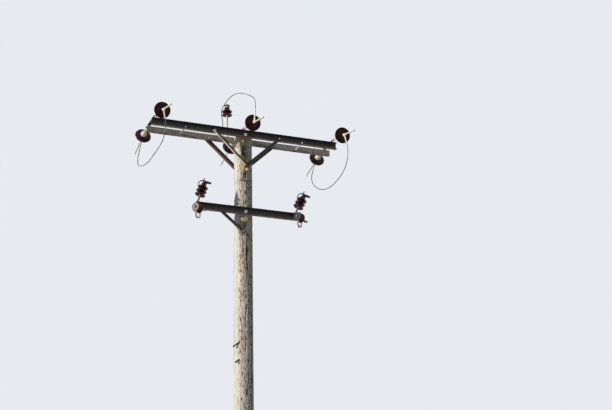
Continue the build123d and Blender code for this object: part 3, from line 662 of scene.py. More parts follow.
class TimberSettings(bpy.types.PropertyGroup):
    """The log's colours and the size of its cracks."""

    bleached: colour_setting("Bleached", "Sun-bleached fibres", paint(250, 245, 235))
    grey: colour_setting("Grey", "Weathered grey fibres", paint(222, 211, 194))
    warm: colour_setting("Warm", "Less weathered fibres", paint(212, 184, 152))
    fleck: colour_setting("Fleck", "Brown flecks and knots", paint(88, 56, 38))
    # The crack colour paints the shade inside the open cracks, the hairline checks and the scar.
    crack: colour_setting("Crack", "Depth of the open cracks", paint(30, 24, 20))
    end_grain: colour_setting("End grain", "Sawn top of the log", paint(150, 138, 120))
    lichen: colour_setting("Lichen", "Yellow growth on the lit wood", paint(224, 204, 112))
    # This colour paints dark growth under the arms that also stands for the shade the arms cast.
    moss: colour_setting("Moss", "Dark growth under the arms", paint(66, 62, 34))
    fleck_amount: share_setting("Fleck amount", "How strong the flecks are", 0.92)
    crack_depth: length_setting("Crack depth", "Depth of the largest cracks", 0.014)
    uneven: length_setting("Unevenness", "How far the log's surface wanders", 0.0016)


class MetalSettings(bpy.types.PropertyGroup):
    """Colours of the steel, iron and aluminium."""

    steel: colour_setting("Steel", "Dull galvanised back channel", paint(152, 146, 144))
    # Dark steel paints shade: the front channel, the lower arm and the braces are the back channel's steel,
    # darkened for the shade on their front faces. The posts' clamps, the right end plate, the pegs and the
    # straps' undersides take it too.
    dark_shaded_steel: colour_setting("Dark steel", "Front channel, lower arm and braces", paint(46, 47, 52))
    iron: colour_setting("Iron", "Bright galvanised ironwork", paint(236, 226, 210))
    aluminium: colour_setting("Aluminium", "Strain clamps", paint(242, 234, 220))
    wire: colour_setting("Wire", "Jumper strands", paint(206, 190, 168))
    wire_dull: colour_setting("Dull wire", "Weathered lengths of the strands", paint(96, 92, 88))
    grime: colour_setting("Grime", "Dirt in the streaks", paint(66, 62, 60))
    rust: colour_setting("Rust", "Rust", paint(140, 92, 60))
    dull_iron: colour_setting("Dull iron", "Weathered ironwork of posts and spools", paint(150, 138, 130))
    # Highlight steel paints the sunlit highlight on the front-left brace's downward faces.
    highlight_steel: colour_setting("Pale steel", "Washed underside of a front brace", paint(232, 214, 190))
    # Lit flange paints the light that falls on the channels' and the lower arm's downward faces, lighter
    # than their steel.
    lit_flange: colour_setting("Flange", "Undersides of the channels", paint(168, 150, 134))


class GlazeSettings(bpy.types.PropertyGroup):
    """The porcelain's glaze."""

    glaze: colour_setting("Glaze", "Dark glaze", paint(27, 8, 7))
    glaze_light: colour_setting("Light glaze", "Thinner patches of glaze", paint(52, 14, 11))
    rim: colour_setting("Rim", "Thin glaze on the rims", paint(140, 34, 24))
    dust: colour_setting("Dust", "Dust on the glaze", paint(84, 74, 66))
    roughness: share_setting("Roughness", "Roughness of clean glaze", 0.16)


class WireSettings(bpy.types.PropertyGroup):
    """The jumpers' strands."""

    radius: length_setting("Radius", "Outer radius of a jumper", 0.006)
    lay: length_setting("Lay", "Length in which a strand goes once round", 0.16)
    strands: bpy.props.IntProperty(
        name="Strands", description="Strands in the outer layer", default=12, min=3
    )


class StageSettings(bpy.types.PropertyGroup):
    """Backdrop and lamps."""

    backdrop: colour_setting("Backdrop", "Plain backdrop", (0.80, 0.83, 0.87, 1.0))
    floor: colour_setting("Floor", "Pale floor", (0.72, 0.70, 0.67, 1.0))
    floor_lift: number_setting("Floor lift", "Light that the floor shows of its own", 0.55)
    key: number_setting("Key", "Strength of the key lamp", 3.0)
    fill: number_setting("Fill", "Strength of the soft fill", 0.17)
    softness: number_setting("Softness", "Width of the key lamp", math.radians(3.5), subtype="ANGLE")


class PoleSettings(bpy.types.PropertyGroup):
    """All the settings of the pole."""

    timber: settings_group("Timber", "The log", TimberSettings)
    metal: settings_group("Metal", "Steel, iron and aluminium", MetalSettings)
    glaze: settings_group("Glaze", "Porcelain", GlazeSettings)
    wire: settings_group("Wire", "Jumpers", WireSettings)
    stage: settings_group("Stage", "Backdrop and lamps", StageSettings)


# The log


# Open cracks: angle round the log in degrees, low and high end, drift in degrees, half of the
# greatest width, and depth as a share of the crack depth setting
CRACKS = (
    (273.0, 7.66, 8.36, 3.0, 0.018, 1.0),
    (263.0, 6.98, 7.32, 3.0, 0.013, 0.35),
    (264.0, 6.66, 6.92, 2.0, 0.014, 0.40),
    (270.0, 7.24, 7.34, 1.0, 0.014, 0.95),
    (276.0, 8.78, 9.06, -3.0, 0.010, 0.8),
    (248.0, 7.90, 8.44, 4.0, 0.006, 0.4),
    (255.0, 8.72, 9.02, -3.0, 0.007, 0.5),
    (268.0, 9.14, 9.30, 2.0, 0.009, 0.8),
    (278.0, 6.00, 6.60, 3.0, 0.010, 0.7),
    (300.0, 5.2, 7.9, 8.0, 0.010, 0.9),
    (330.0, 7.0, 9.4, -6.0, 0.009, 0.8),
    (20.0, 5.8, 9.1, 7.0, 0.010, 0.9),
    (70.0, 6.6, 9.7, -8.0, 0.011, 1.0),
    (120.0, 4.4, 8.4, 6.0, 0.009, 0.8),
    (165.0, 6.4, 9.2, -4.0, 0.008, 0.6),
    (200.0, 3.0, 5.6, 6.0, 0.009, 0.8),
    (250.0, 1.2, 5.0, -7.0, 0.011, 1.0),
    (310.0, 0.4, 4.3, 5.0, 0.010, 0.9),
    (30.0, 0.2, 4.8, 8.0, 0.011, 1.0),
    (95.0, 1.0, 3.9, -5.0, 0.009, 0.8),
    (150.0, 0.3, 3.4, 4.0, 0.010, 0.9),
)
# Knots: angle in degrees, height, radius
KNOTS = (
    (231.0, 7.88, 0.016), (243.0, 7.61, 0.010), (259.0, 7.58, 0.011), (240.0, 7.50, 0.009),
    (285.0, 7.40, 0.014), (270.0, 7.28, 0.016), (247.0, 7.15, 0.010), (281.0, 7.14, 0.013),
    (253.0, 6.71, 0.014), (275.0, 6.56, 0.014), (247.0, 6.39, 0.010), (265.0, 6.11, 0.014),
    (293.0, 6.09, 0.018), (243.0, 6.04, 0.012), (262.0, 8.95, 0.012), (256.0, 8.80, 0.012),
    (100.0, 8.9, 0.02), (60.0, 7.5, 0.022), (140.0, 6.9, 0.018), (20.0, 6.2, 0.02),
    (245.0, 4.4, 0.024), (300.0, 3.2, 0.022), (200.0, 2.4, 0.024), (80.0, 4.8, 0.024),
    (130.0, 2.0, 0.022), (350.0, 1.4, 0.024), (270.0, 1.9, 0.02), (40.0, 2.9, 0.022),
)
KNOT_SWELL = 0.0022
KNOT_DIP = 0.0018
# Growth by its mask: angle in degrees, height, spread in degrees, spread in height
GROWTH = {
    "lichen": (
        (238.0, 9.69, 14.0, 0.050), (247.0, 9.30, 12.0, 0.045), (257.0, 8.52, 14.0, 0.030),
        (250.0, 8.74, 8.0, 0.020),
    ),
    # These spots under the arms are partly dark growth and partly painted shade cast by the arms.
    "moss": (
        (253.0, 9.53, 18.0, 0.100), (266.0, 9.66, 10.0, 0.080), (262.0, 9.22, 12.0, 0.070),
        (246.0, 8.72, 8.0, 0.030), (262.0, 8.50, 12.0, 0.040),
    ),
}
# A shallow scar round part of the log
SCAR_HEIGHT = ARM_HEIGHT - 0.69
SCAR_MIDDLE = 257.0
SCAR_WIDTH = 0.010
SCAR_DEPTH = 0.003
# Side of the log that faces the key lamp, in degrees: its flecks and hairline checks fade there, partly sun
# bleaching and partly a painted highlight
GLARE_MIDDLE = 192.0
GLARE_REACH = 38.0
FIBRE_RELIEF = 0.0006
LOG_COLUMNS = 150
CLOSE_ROWS_FROM = 5.6
# Rows of the foot and of the roof, as shares of the radius
FOOT_SHARES = np.array([0.05, 0.3, 0.6, 0.85, 0.98])[:, None]
ROOF_SHARES = np.array([0.995, 0.97, 0.9, 0.82, 0.72, 0.61, 0.5, 0.39, 0.28, 0.17, 0.07])[:, None]


def away(angles, centre):
    """Signed angle from a centre, from -180 to 180 degrees."""
    return (angles - centre + 180.0) % 360.0 - 180.0


def log_radius(rise):
    """Radius of the tapered log at a share of its height."""
    return GROUND_RADIUS + (TOP_RADIUS - GROUND_RADIUS) * rise


def log_levels():
    """Heights of the log's rows, closer together higher up, with two rows at each seat's edge."""
    return np.unique(np.concatenate([
        [0.0, 0.004],
        np.arange(0.04, CLOSE_ROWS_FROM, 0.045),
        np.arange(CLOSE_ROWS_FROM, POLE_HEIGHT - 0.04, 0.0102),
        [LOWER_ARM_LOW, LOWER_ARM_LOW + 0.001, LOWER_ARM_HIGH - 0.001, LOWER_ARM_HIGH],
        [FRONT_ARM_LOW, FRONT_ARM_LOW + 0.001, BACK_ARM_LOW, BACK_ARM_LOW + 0.001],
    ]))


def open_cracks(z, a, turn, rise, taper):
    """How far the cracks cut in at each point, as a share of their depth, and their mask.

    Across a crack its cut is share * (1 - |d| / width), d being the distance round the log from
    its line. The line wanders by up to 2.2 degrees, and the width by a quarter.
    """
    cuts, mask = np.zeros_like(z), np.zeros_like(z)
    for n, (angle, low, high, drift, width, share) in enumerate(CRACKS):
        along = np.clip((z - low) / (high - low), 0, 1)
        line = angle + drift * along + 2.2 * noise(turn * 0, rise, 3, 70, 40 + n)
        d = np.abs(np.radians(away(a, line)) * taper)
        ragged = 0.75 + 0.25 * noise(turn * 0, rise, 3, 160, 70 + n)
        open_width = width * np.sqrt(np.sin(np.pi * along)) * ragged
        cut = np.clip(1 - d / np.maximum(open_width, 1e-5), 0, 1) * ((z > low) & (z < high))
        cuts += share * cut
        mask = np.maximum(mask, np.clip(cut * 2.0, 0, 1) * (0.2 + 0.8 * share))
    return cuts, mask


def log_surface(settings):
    """The log as one surface of angle and height.

    Radius = taper + slow noise - fibres + knots' bumps - cracks - scar. The seats clip y to the
    arms' flats. The roof's rows run in to the middle at z = top - |x| * slope.
    """
    angles = np.linspace(0, 360, LOG_COLUMNS, endpoint=False)
    z, a = np.meshgrid(log_levels(), angles, indexing="ij")
    turn, rise = a / 360, z / POLE_HEIGHT
    taper = log_radius(rise)
    radius = taper + settings.uneven * noise(turn, rise, 5, 9, 11) * 0.6
    radius += settings.uneven * noise(turn, rise, 17, 30, 12) * 0.4
    radius -= FIBRE_RELIEF * np.abs(noise(turn, rise, 48, 60, 13))
    knot = np.zeros_like(z)
    for angle, height, size in KNOTS:
        d = np.hypot(np.radians(away(a, angle)) * taper, (z - height) * 0.8) / size
        radius += KNOT_SWELL * np.exp(-(d**2) * 0.6) - KNOT_DIP * np.exp(-(d**2) * 6)
        knot = np.maximum(knot, np.exp(-(d**2) * 2.2))
    cuts, crack = open_cracks(z, a, turn, rise, taper)
    radius -= settings.crack_depth * cuts
    wander = 0.004 * noise(turn, rise, 9, 3, 5)
    scar = np.exp(-(((z - SCAR_HEIGHT - wander) / SCAR_WIDTH) ** 2))
    scar *= np.clip(1.6 - np.abs(away(a, SCAR_MIDDLE)) / 24, 0.12, 1)
    radius -= SCAR_DEPTH * scar
    growths = {}
    for kind, spots in GROWTH.items():
        growths[kind] = np.zeros_like(z)
        for angle, height, wide, tall in spots:
            d = (away(a, angle) / wide) ** 2 + ((z - height) / tall) ** 2
            growths[kind] = np.maximum(growths[kind], np.clip(1.6 * np.exp(-d), 0, 1))

    x, y = radius * np.cos(np.radians(a)), radius * np.sin(np.radians(a))
    edge = 0.0005
    front = (z > FRONT_ARM_LOW + edge) | ((z > LOWER_ARM_LOW + edge) & (z < LOWER_ARM_HIGH - edge))
    flat = np.where(z > FRONT_ARM_LOW, FRONT_SEAT_Y, LOWER_SEAT_Y)
    y = np.where(front, np.maximum(y, flat), y)
    y = np.where(z > BACK_ARM_LOW + edge, np.minimum(y, BACK_SEAT_Y), y)
    eaves = np.minimum(z, POLE_HEIGHT - EAVES_DROP - np.abs(x) * ROOF_SLOPE)
    z = np.where(z > POLE_HEIGHT - 0.06, eaves, z)
    roof_x, roof_y = x[-1] * ROOF_SHARES, y[-1] * ROOF_SHARES
    points = np.concatenate([
        np.stack([x[0] * FOOT_SHARES, y[0] * FOOT_SHARES, 0 * x[0] * FOOT_SHARES], -1),
        np.stack([x, y, z], -1),
        np.stack([roof_x, roof_y, POLE_HEIGHT - np.abs(roof_x) * ROOF_SLOPE], -1),
    ])

    def padded(mask, *ends):
        """Mask on the side's rows, with one value on the foot's rows and one on the roof's."""
        shares = (FOOT_SHARES, ROOF_SHARES)
        low, high = (np.full((len(rows), LOG_COLUMNS), value) for rows, value in zip(shares, ends))
        return np.concatenate([low, mask, high])

    # Flecks and checks fade towards the key lamp's side: partly bleaching, partly a painted highlight.
    flecked = 1 - 0.75 * np.exp(-((away(a, GLARE_MIDDLE) / GLARE_REACH) ** 4))
    return grid(points, masks={
        # The cracks and the scar carry the painted shade of the crack colour.
        "crack": padded(np.maximum(crack, scar), 0.0, 0.0),
        "knot": padded(knot, 0.0, 0.0),
        "lichen": padded(growths["lichen"], 0.0, 0.2),
        "moss": padded(growths["moss"], 0.0, 0.3),
        "end_grain": padded(np.zeros_like(z), 1.0, 1.0),
        "flecked": padded(flecked, 1.0, 1.0),
    })


class POLE_OT_log(bpy.types.Operator):
    """Make the log with its cracks, knots, seats and pitched top"""

    bl_idname = "utility_pole.log"
    bl_label = "Log"

    def execute(self, context):
        settings = context.scene.utility_pole.timber
        timber = timber_material(settings)
        make_piece("log", [log_surface(settings)], timber, ["pole"], sharp=60.0)
        return {"FINISHED"}


# Porcelain discs


# Heights from a cap's top to the shell's crown, and from there to the shell's rim
CROWN = 60.3
SHELL_FALL = 31.0


def disc_profile(top):
    """Profile of a cap-and-pin disc, from its head under the cap out over the shell and back under.

    Between cap and rim the shell's top is a quadratic arc. Underneath, the shell falls evenly and
    two ribs stand out of it.
    """
    crown = top + CROWN
    rim = crown + SHELL_FALL
    head = crown - 40.0
    edge = DISC_RADIUS

    def under(radius):
        return crown + SHELL_FALL * (0.5 + 0.45 * radius / DISC_RADIUS)

    t = np.linspace(0, 1, 16)[:, None]
    shell = (1 - t) ** 2 * np.array([40, crown]) + 2 * t * (1 - t) * np.array([edge - 20, crown + 2])
    shell = shell + t**2 * np.array([edge - 1, rim - 1])
    lower = [(edge, rim + 3), (edge - 1.5, rim + 7), (edge - 7, rim + 6), (edge - 13, under(edge - 13))]
    for radius, depth in ((86.0, 14.0), (60.0, 22.0)):
        lower += [
            (radius + 6.0, under(radius + 6.0)), (radius + 3.4, rim + depth),
            (radius - 3.4, rim + depth), (radius - 6.0, under(radius - 6.0)),
        ]
    lower += [
        (34.0, under(34.0)), (22.0, under(10.0) - 4.0), (8.3, under(8.3) - 4.0), (8.3, head + 30),
        (0, head + 30),
    ]
    return eased(np.concatenate([[(0, head), (29.0, head), (29.7, crown - 2.0)], shell, lower]), 2.4)


def disc_rim(top):
    """Mask of thin glaze: it rises towards the shell's rim and the ribs' tips."""
    rim = top + CROWN + SHELL_FALL

    def mask(profile):
        edge = np.clip(1 - np.abs(profile[:, 0] - DISC_RADIUS) / 5.0, 0, 1)
        tips = np.clip((profile[:, 1] - rim - 9.0) / 6.0, 0, 1) * 0.35
        return np.maximum(edge, tips)

    return mask


class POLE_OT_discs(bpy.types.Operator):
    """Turn the porcelain discs of the six strain strings"""

    bl_idname = "utility_pole.discs"
    bl_label = "Porcelain discs"

    def execute(self, context):
        glaze = glaze_material(context.scene.utility_pole.glaze)
        for place, line in STRINGS:
            top = CAP_TOP[place]
            surface = turned(disc_profile(top), *string_frame(place, line), columns=96, mask=disc_rim(top))
            dress(f"{place}_{line}_discs", "glazed", [surface], glaze)
        return {"FINISHED"}


# Ironwork of the strings


# A shackle: its bolt's distance from the arm's middle, its bow's radius and its bar's; then the
# link's ring and its bar, and a cotter's wire, as radii too
SHACKLE_OUT = 0.215
BOW_RADIUS = 0.018
SHACKLE_BAR = 0.007
RING_RADIUS = 0.014
RING_BAR = 0.006
COTTER_BAR = 0.0016
# A front link's thick body: its low and high end and its radius in mm
LINK_BODY = (55.0, 145.0, 17.0)


def cap_profile(top):
    """Profile of a disc's iron cap: socket, neck, flared skirt with a bead at its foot."""
    foot = top + 60.0
    return eased([
        (0, top + 14), (11.5, top + 14), (11.5, top), (20, top), (23, top + 2), (26, top + 9),
        (33, top + 13), (38, top + 24), (40.5, top + 42), (41, foot - 9), (44, foot - 7),
        (44.5, foot - 1), (43, foot), (30.3, foot), (30.3, foot - 6), (0, foot - 6),
    ], 2.0)


def pin_profile(start, socket, body=()):
    """Profile of a ball pin from start, with any thick body's rows, to its ball inside a socket."""
    return eased([
        (0, start), (8, start), *body, (8, socket - 4), (9, socket - 2), (11, socket + 2),
        (11, socket + 10), (7, socket + 13.5), (0, socket + 13.5),
    ], 1.6)


def shackle(line, side):
    """Bow shackle: a round bar along a U, eyes at its ends and a bolt with its nuts through them."""
    x = LINES[line]
    t = np.linspace(-np.pi / 2, np.pi / 2, 19)
    bow = np.stack([0.040 + BOW_RADIUS * np.cos(t), BOW_RADIUS * np.sin(t)], 1)
    leg = np.stack([np.linspace(0.0, 0.036, 6), np.full(6, -BOW_RADIUS)], 1)
    path = np.concatenate([leg, bow, leg[::-1] * [1, -1]])
    path = np.stack([
        np.full(len(path), x), side * (SHACKLE_OUT + path[:, 0]), STRAP_MIDDLE + path[:, 1],
    ], 1)
    centre = np.array([x, side * SHACKLE_OUT, STRAP_MIDDLE])
    eye = eased([(0, 0), (14, 0), (14, 13), (0, 13)], 2.0)
    bolt = [(0, -31), (7.6, -31), (7.9, -29), (7.9, 26), (0, 26)]
    return [
        tube(path, SHACKLE_BAR, ALONG, 16),
        turned(eye, centre - UP * 0.0245, UP, columns=24),
        turned(eye, centre + UP * 0.0115, UP, columns=24),
        turned(bolt, centre, UP, columns=20),
        nut(centre + UP * 0.0247, UP, 13.0, 8.0),
        nut(centre - UP * 0.0250, -UP, 12.0, 5.0),
    ]


def cotter(origin, axis, height):
    """Split pin: a thin bent wire through a socket at a height in mm along the string."""
    centre = origin + axis * height * MM
    t = np.linspace(0, 1, 14)[:, None]
    first, second = across_axis(axis, ALONG)
    path = centre + first * (0.034 * (t - 0.5)) + second * (0.006 * np.sin(np.pi * t)) + axis * 0.002
    return tube(path, COTTER_BAR, axis, 8)


def link_body(low, high, radius):
    """Profile rows of a link's thick body: two collars with a slimmer middle between them."""
    return [
        (8, low), (0.6 * radius, low), (radius, low + 7), (radius, low + 24),
        (0.86 * radius, low + 28), (0.86 * radius, high - 28), (radius, high - 24),
        (radius, high - 7), (0.6 * radius, high), (8, high),
    ]


def string_ironwork(place, line):
    """Shackle, link, cap, cotter and pin of one string. The link's ring hangs in the shackle."""
    origin, axis = string_frame(place, line)
    top = CAP_TOP[place]
    body = link_body(*LINK_BODY) if place == "front" else ()
    t = round_angles(40)[:, None]
    ring = origin + RING_RADIUS * (np.cos(t) * axis + np.sin(t) * np.cross(ALONG, axis))
    return shackle(line, SIDES[place]) + [
        tube(ring, RING_BAR, ALONG, 12, ring=True),
        turned(pin_profile(18.0, top, body), origin, axis, columns=32),
        turned(cap_profile(top), origin, axis, columns=48),
        turned(pin_profile(top + 50.0, top + DISC_LENGTH), origin, axis, columns=24),
        cotter(origin, axis, top + 7),
    ]


class POLE_OT_ironwork(bpy.types.Operator):
    """Make the shackles, links, caps and pins of the six strain strings"""

    bl_idname = "utility_pole.ironwork"
    bl_label = "String ironwork"

    def execute(self, context):
        metal = iron(context.scene.utility_pole.metal)
        for place, line in STRINGS:
            surfaces = string_ironwork(place, line)
            dress(f"{place}_{line}_ironwork", "galvanised", surfaces, metal)
        return {"FINISHED"}


# Strain clamps


def out_and_down(side, angle):
    """Unit direction at an angle in degrees from straight down, leaning out on its side."""
    return np.array([0.0, side * math.sin(math.radians(angle)), -math.cos(math.radians(angle))])


# Direction and length in mm of each clamp's jumper socket
SOCKETS = {
    ("front", "left"): (out_and_down(-1, 26), 195.0),
    ("back", "left"): (out_and_down(1, 40), 150.0),
    ("front", "middle"): (out_and_down(-1, 168), 195.0),
    ("back", "middle"): (unit((-0.35, 0.1, 0.93)), 150.0),
    ("front", "right"): (out_and_down(-1, 26), 195.0),
    ("back", "right"): (out_and_down(1, 44), 150.0),
}


def pressed(low, high, radius, neck):
    """Profile rows of a sleeve pressed in four bands: full radius in each, neck between them."""
    edges = np.linspace(low, high, 8)
    rows = []
    for start, stop in zip(edges[::2], edges[1::2]):
        rows += [(neck, start - 1.5), (radius, start + 1.5), (radius, stop - 1.5), (neck, stop + 1.5)]
    return rows


def socket_root(place, line):
    """Point on a clamp's axis that its jumper socket runs from."""
    origin, axis = string_frame(place, line)
    return origin + axis * (CAP_TOP[place] + DISC_LENGTH + 20) * MM


def clamp_surfaces(place, line):
    """Strain clamp: iron socket with its collar, pressed barrel, open mouth, and jumper's socket."""
    origin, axis = string_frame(place, line)
    start = CAP_TOP[place] + DISC_LENGTH
    end = start + CLAMP_LENGTH
    body = eased([
        (0, start + 14), (11.5, start + 14), (11.5, start), (17, start), (20, start + 3),
        (20, start + 34), (17, start + 40), (12.6, start + 50),
        *pressed(start + 66, start + 190, 12.0, 11.2), *pressed(start + 216, end - 46, 12.0, 11.2),
        (12, end - 40), (10, end - 2), (9, end), (6.2, end), (6.2, end - 60), (0, end - 60),
    ], 1.2)
    direction, length = SOCKETS[place, line]
    sleeve = eased([
        (0, 4), (17, 4), (17, 25), (14, 29), (10.2, 33), *pressed(48, length - 34, 10.0, 9.2),
        (9.8, length - 24), (8, length - 0.5), (0, length - 0.5),
    ], 1.2)
    return [
        turned(body, origin, axis, columns=36),
        turned(sleeve, socket_root(place, line), direction, columns=32),
        cotter(origin, axis, start + 7),
    ]


class POLE_OT_clamps(bpy.types.Operator):
    """Make the six strain clamps with their jumper sockets"""

    bl_idname = "utility_pole.clamps"
    bl_label = "Strain clamps"

    def execute(self, context):
        settings = context.scene.utility_pole.metal
        metal = metal_material("satin_aluminium", settings.aluminium, settings, "satin")
        for place, line in STRINGS:
            surfaces = clamp_surfaces(place, line)
            dress(f"{place}_{line}_clamp", "pressed", surfaces, metal)
        return {"FINISHED"}


# Jumpers


# Routes between the two sockets in mm, with z as height from the crossarm: (y, z) where a route
# stays in its line's own plane, and else (x, y, z)
ROUTES = {
    "left": [
        (-727, -335), (-695, -412), (-618, -462), (-515, -487), (-390, -499), (-250, -504),
        (-105, -501), (40, -505), (185, -491), (325, -462), (455, -427), (560, -388), (644, -340),
        (700, -274), (680, -200),
    ],
    "right": [
        (-727, -318), (-715, -388), (-680, -457), (-622, -513), (-542, -555), (-441, -581),
        (-321, -598), (-191, -607), (-61, -601), (69, -581), (194, -547), (315, -500), (425, -441),
        (515, -381), (590, -317), (637, -251), (647, -197),
    ],
    "middle": [
        (-51, -662, 285), (-63, -622, 336), (-80, -550, 394), (-101, -455, 453), (-122, -350, 512),
        (-138, -245, 557), (-152, -140, 590), (-170, -25, 612), (-195, 78, 592), (-225, 140, 545),
        (-243, 200, 500), (-240, 258, 438), (-212, 278, 362), (-203, 285, 300), (-192, 325, 252),
        (-180, 385, 238), (-152, 468, 248),
    ],
}
END_RUNS = {"left": 0.060, "middle": 0.060, "right": 0.050}
GROOVE_SHARE = 0.16
STRAND_STEP = 0.008


def jumper_line(line):
    """Points of a NURBS curve through the route, which leaves each socket along its direction."""
    route = np.array(ROUTES[line], float)
    if route.shape[1] == 2:
        route = np.insert(route, 0, LINES[line] / MM, axis=1)
    route = route * MM + UP * ARM_HEIGHT
    ends = []
    for place in ("front", "back"):
        direction, length = SOCKETS[place, line]
        end = socket_root(place, line) + direction * length * MM
        ends.append([end, end + direction * END_RUNS[line]])
    route = np.concatenate([ends[0], route, ends[1][::-1]])
    curve = bpy.data.curves.new(f"{line}_route", "CURVE")
    curve.dimensions = "3D"
    curve.resolution_u = 16
    spline = curve.splines.new("NURBS")
    spline.points.add(len(route) - 1)
    route = np.concatenate([route, np.ones((len(route), 1))], 1).astype(np.float32)
    spline.points.foreach_set("co", route.ravel())
    spline.order_u = 3
    spline.use_endpoint_u = True
    holder = linked(f"{line}_route", curve)
    mesh = bpy.data.meshes.new_from_object(holder)
    points = np.zeros(len(mesh.vertices) * 3, np.float32)
    mesh.vertices.foreach_get("co", points)
    bpy.data.objects.remove(holder)
    bpy.data.curves.remove(curve)
    bpy.data.meshes.remove(mesh)
    return points.reshape(-1, 3).astype(float)


def stranded(path, settings):
    """Wire with a lobed section that turns along the path, and the path in even steps.

    Radius at angle a and length s = R - groove * (1 - |sin(strands / 2 * (a - 2 pi s / lay))|).
    """
    run = np.concatenate([[0], np.cumsum(np.linalg.norm(np.diff(path, axis=0), axis=1))])
    even = np.linspace(0, run[-1], int(run[-1] / STRAND_STEP))
    path = np.stack([np.interp(even, run, path[:, k]) for k in range(3)], 1)
    a = round_angles(4 * settings.strands)[None, :]
    lobe = np.abs(np.sin(settings.strands / 2 * (a - 2 * np.pi * even[:, None] / settings.lay)))
    radius = settings.radius * (1 - GROOVE_SHARE * (1 - lobe))
    points = carried(path, unit(np.gradient(path, axis=0)), ALONG, radius)
    return grid(points, masks={"rim": np.clip(1 - lobe * 1.6, 0, 1)}), path


class POLE_OT_jumpers(bpy.types.Operator):
    """Hang the three stranded jumpers between their clamps"""

    bl_idname = "utility_pole.jumpers"
    bl_label = "Jumpers"

    def execute(self, context):
        settings = context.scene.utility_pole
        material = strand_material(settings.metal)
        for line in LINES:
            surface, path = stranded(jumper_line(line), settings.wire)
            wire = dress(f"{line}_jumper", "strands", [surface], material, sharp=80.0)
        return {"FINISHED"}


# Riser insulator


RISER_FOOT = np.array([-0.190, 0.1375, 9.837])
RISER_LOW = 338.0
RISER_PITCH = 52.0
RISER_SHOULDER = RISER_LOW + 2 * RISER_PITCH
SHED_RADIUS = 73.0
TIE_RADIUS = 0.0312
TIE_WIRE = 0.0021
TIE_TURNS = 4


def shed(core, low, pitch):
    """Profile rows of one shed: hollow drooping underside, rounded lip, sloping top."""
    wide = SHED_RADIUS
    return [
        (core, low + 0.22 * pitch), (core + 0.45 * (wide - core), low + 0.16 * pitch),
        (wide - 5, low + 0.02 * pitch), (wide, low), (wide + 1, low + 0.06 * pitch),
        (wide - 2, low + 0.14 * pitch), (core + 0.4 * (wide - core), low + 0.40 * pitch),
        (core + 1, low + 0.62 * pitch),
    ]


def lip_mask(wide):
    """Mask of thin glaze that rises towards a lip of a given radius."""
    return lambda profile: np.clip(1 - (wide - profile[:, 0]) / 9.0, 0, 1)


class POLE_OT_riser(bpy.types.Operator):
    """Make the riser's pin, its insulator and the wire tied round its neck"""

    bl_idname = "utility_pole.riser"
    bl_label = "Riser insulator"

    def execute(self, context):
        settings = context.scene.utility_pole
        low, shoulder = RISER_LOW, RISER_SHOULDER
        stem = eased([
            (0, -24), (10, -24), (10, 0), (22, 0), (22, 11), (15, 16), (14, 20), (14, low + 52),
            (0, low + 52),
        ], 2.0)
        t = np.linspace(0, 1, 200)[:, None]
        turns = TIE_TURNS * 2 * np.pi * t
        neck = RISER_FOOT + UP * (shoulder + 19) * MM
        tie = neck + TIE_RADIUS * np.concatenate([np.cos(turns), np.sin(turns), 0 * t], 1)
        pin = [
            turned(stem, RISER_FOOT, UP, columns=32),
            nut(RISER_FOOT - UP * 0.008, -UP, 16.0, 13.0),
            tube(tie + UP * 0.016 * (t - 0.5), TIE_WIRE, UP, 8),
        ]
        dress("riser_pin", "galvanised", pin, iron(settings.metal))

        body = eased([
            (0, low + 53), (14.3, low + 53), (14.3, low), (26, low - 0.5), (34, low + 8),
            *shed(40, low, RISER_PITCH), *shed(40, low + RISER_PITCH, RISER_PITCH),
            (39, shoulder + 2), (31, shoulder + 12), (29, shoulder + 19), (31, shoulder + 26),
            (40, shoulder + 34), (40, shoulder + 42), (32, shoulder + 52), (18, shoulder + 55.5),
            (0, shoulder + 56),
        ], 2.4)
        surface = turned(body, RISER_FOOT, UP, columns=64, mask=lip_mask(SHED_RADIUS + 1))
        glaze = glaze_material(settings.glaze)
        dress("riser_insulator", "glazed", [surface], glaze)
        return {"FINISHED"}


# Posts on the lower arm


# Each post's place along the arm and its lean in degrees
POSTS = {"left": (-0.696, 19.0), "right": (0.714, 26.0)}
POST_Y = -0.1494
POST_STEM = 95.0
POST_STEM_RADIUS = 0.0138
POST_PITCH = 58.0
POST_TOP = 280.6
# Outlines of the top clamp's flat plates and places of their bolts, in mm from the post's top
WING = [
    (-30, 22), (-28, 34), (-10, 40), (60, 50), (84, 51), (92, 42), (88, 31), (60, 20), (30, 10), (-10, 14),
]
EAR = [(-28, 22), (-28, 70), (-24, 74), (-18, 74), (-15, 70), (-15, 22)]
CLAMP_BOLTS = ((30, 30), (66, 38))


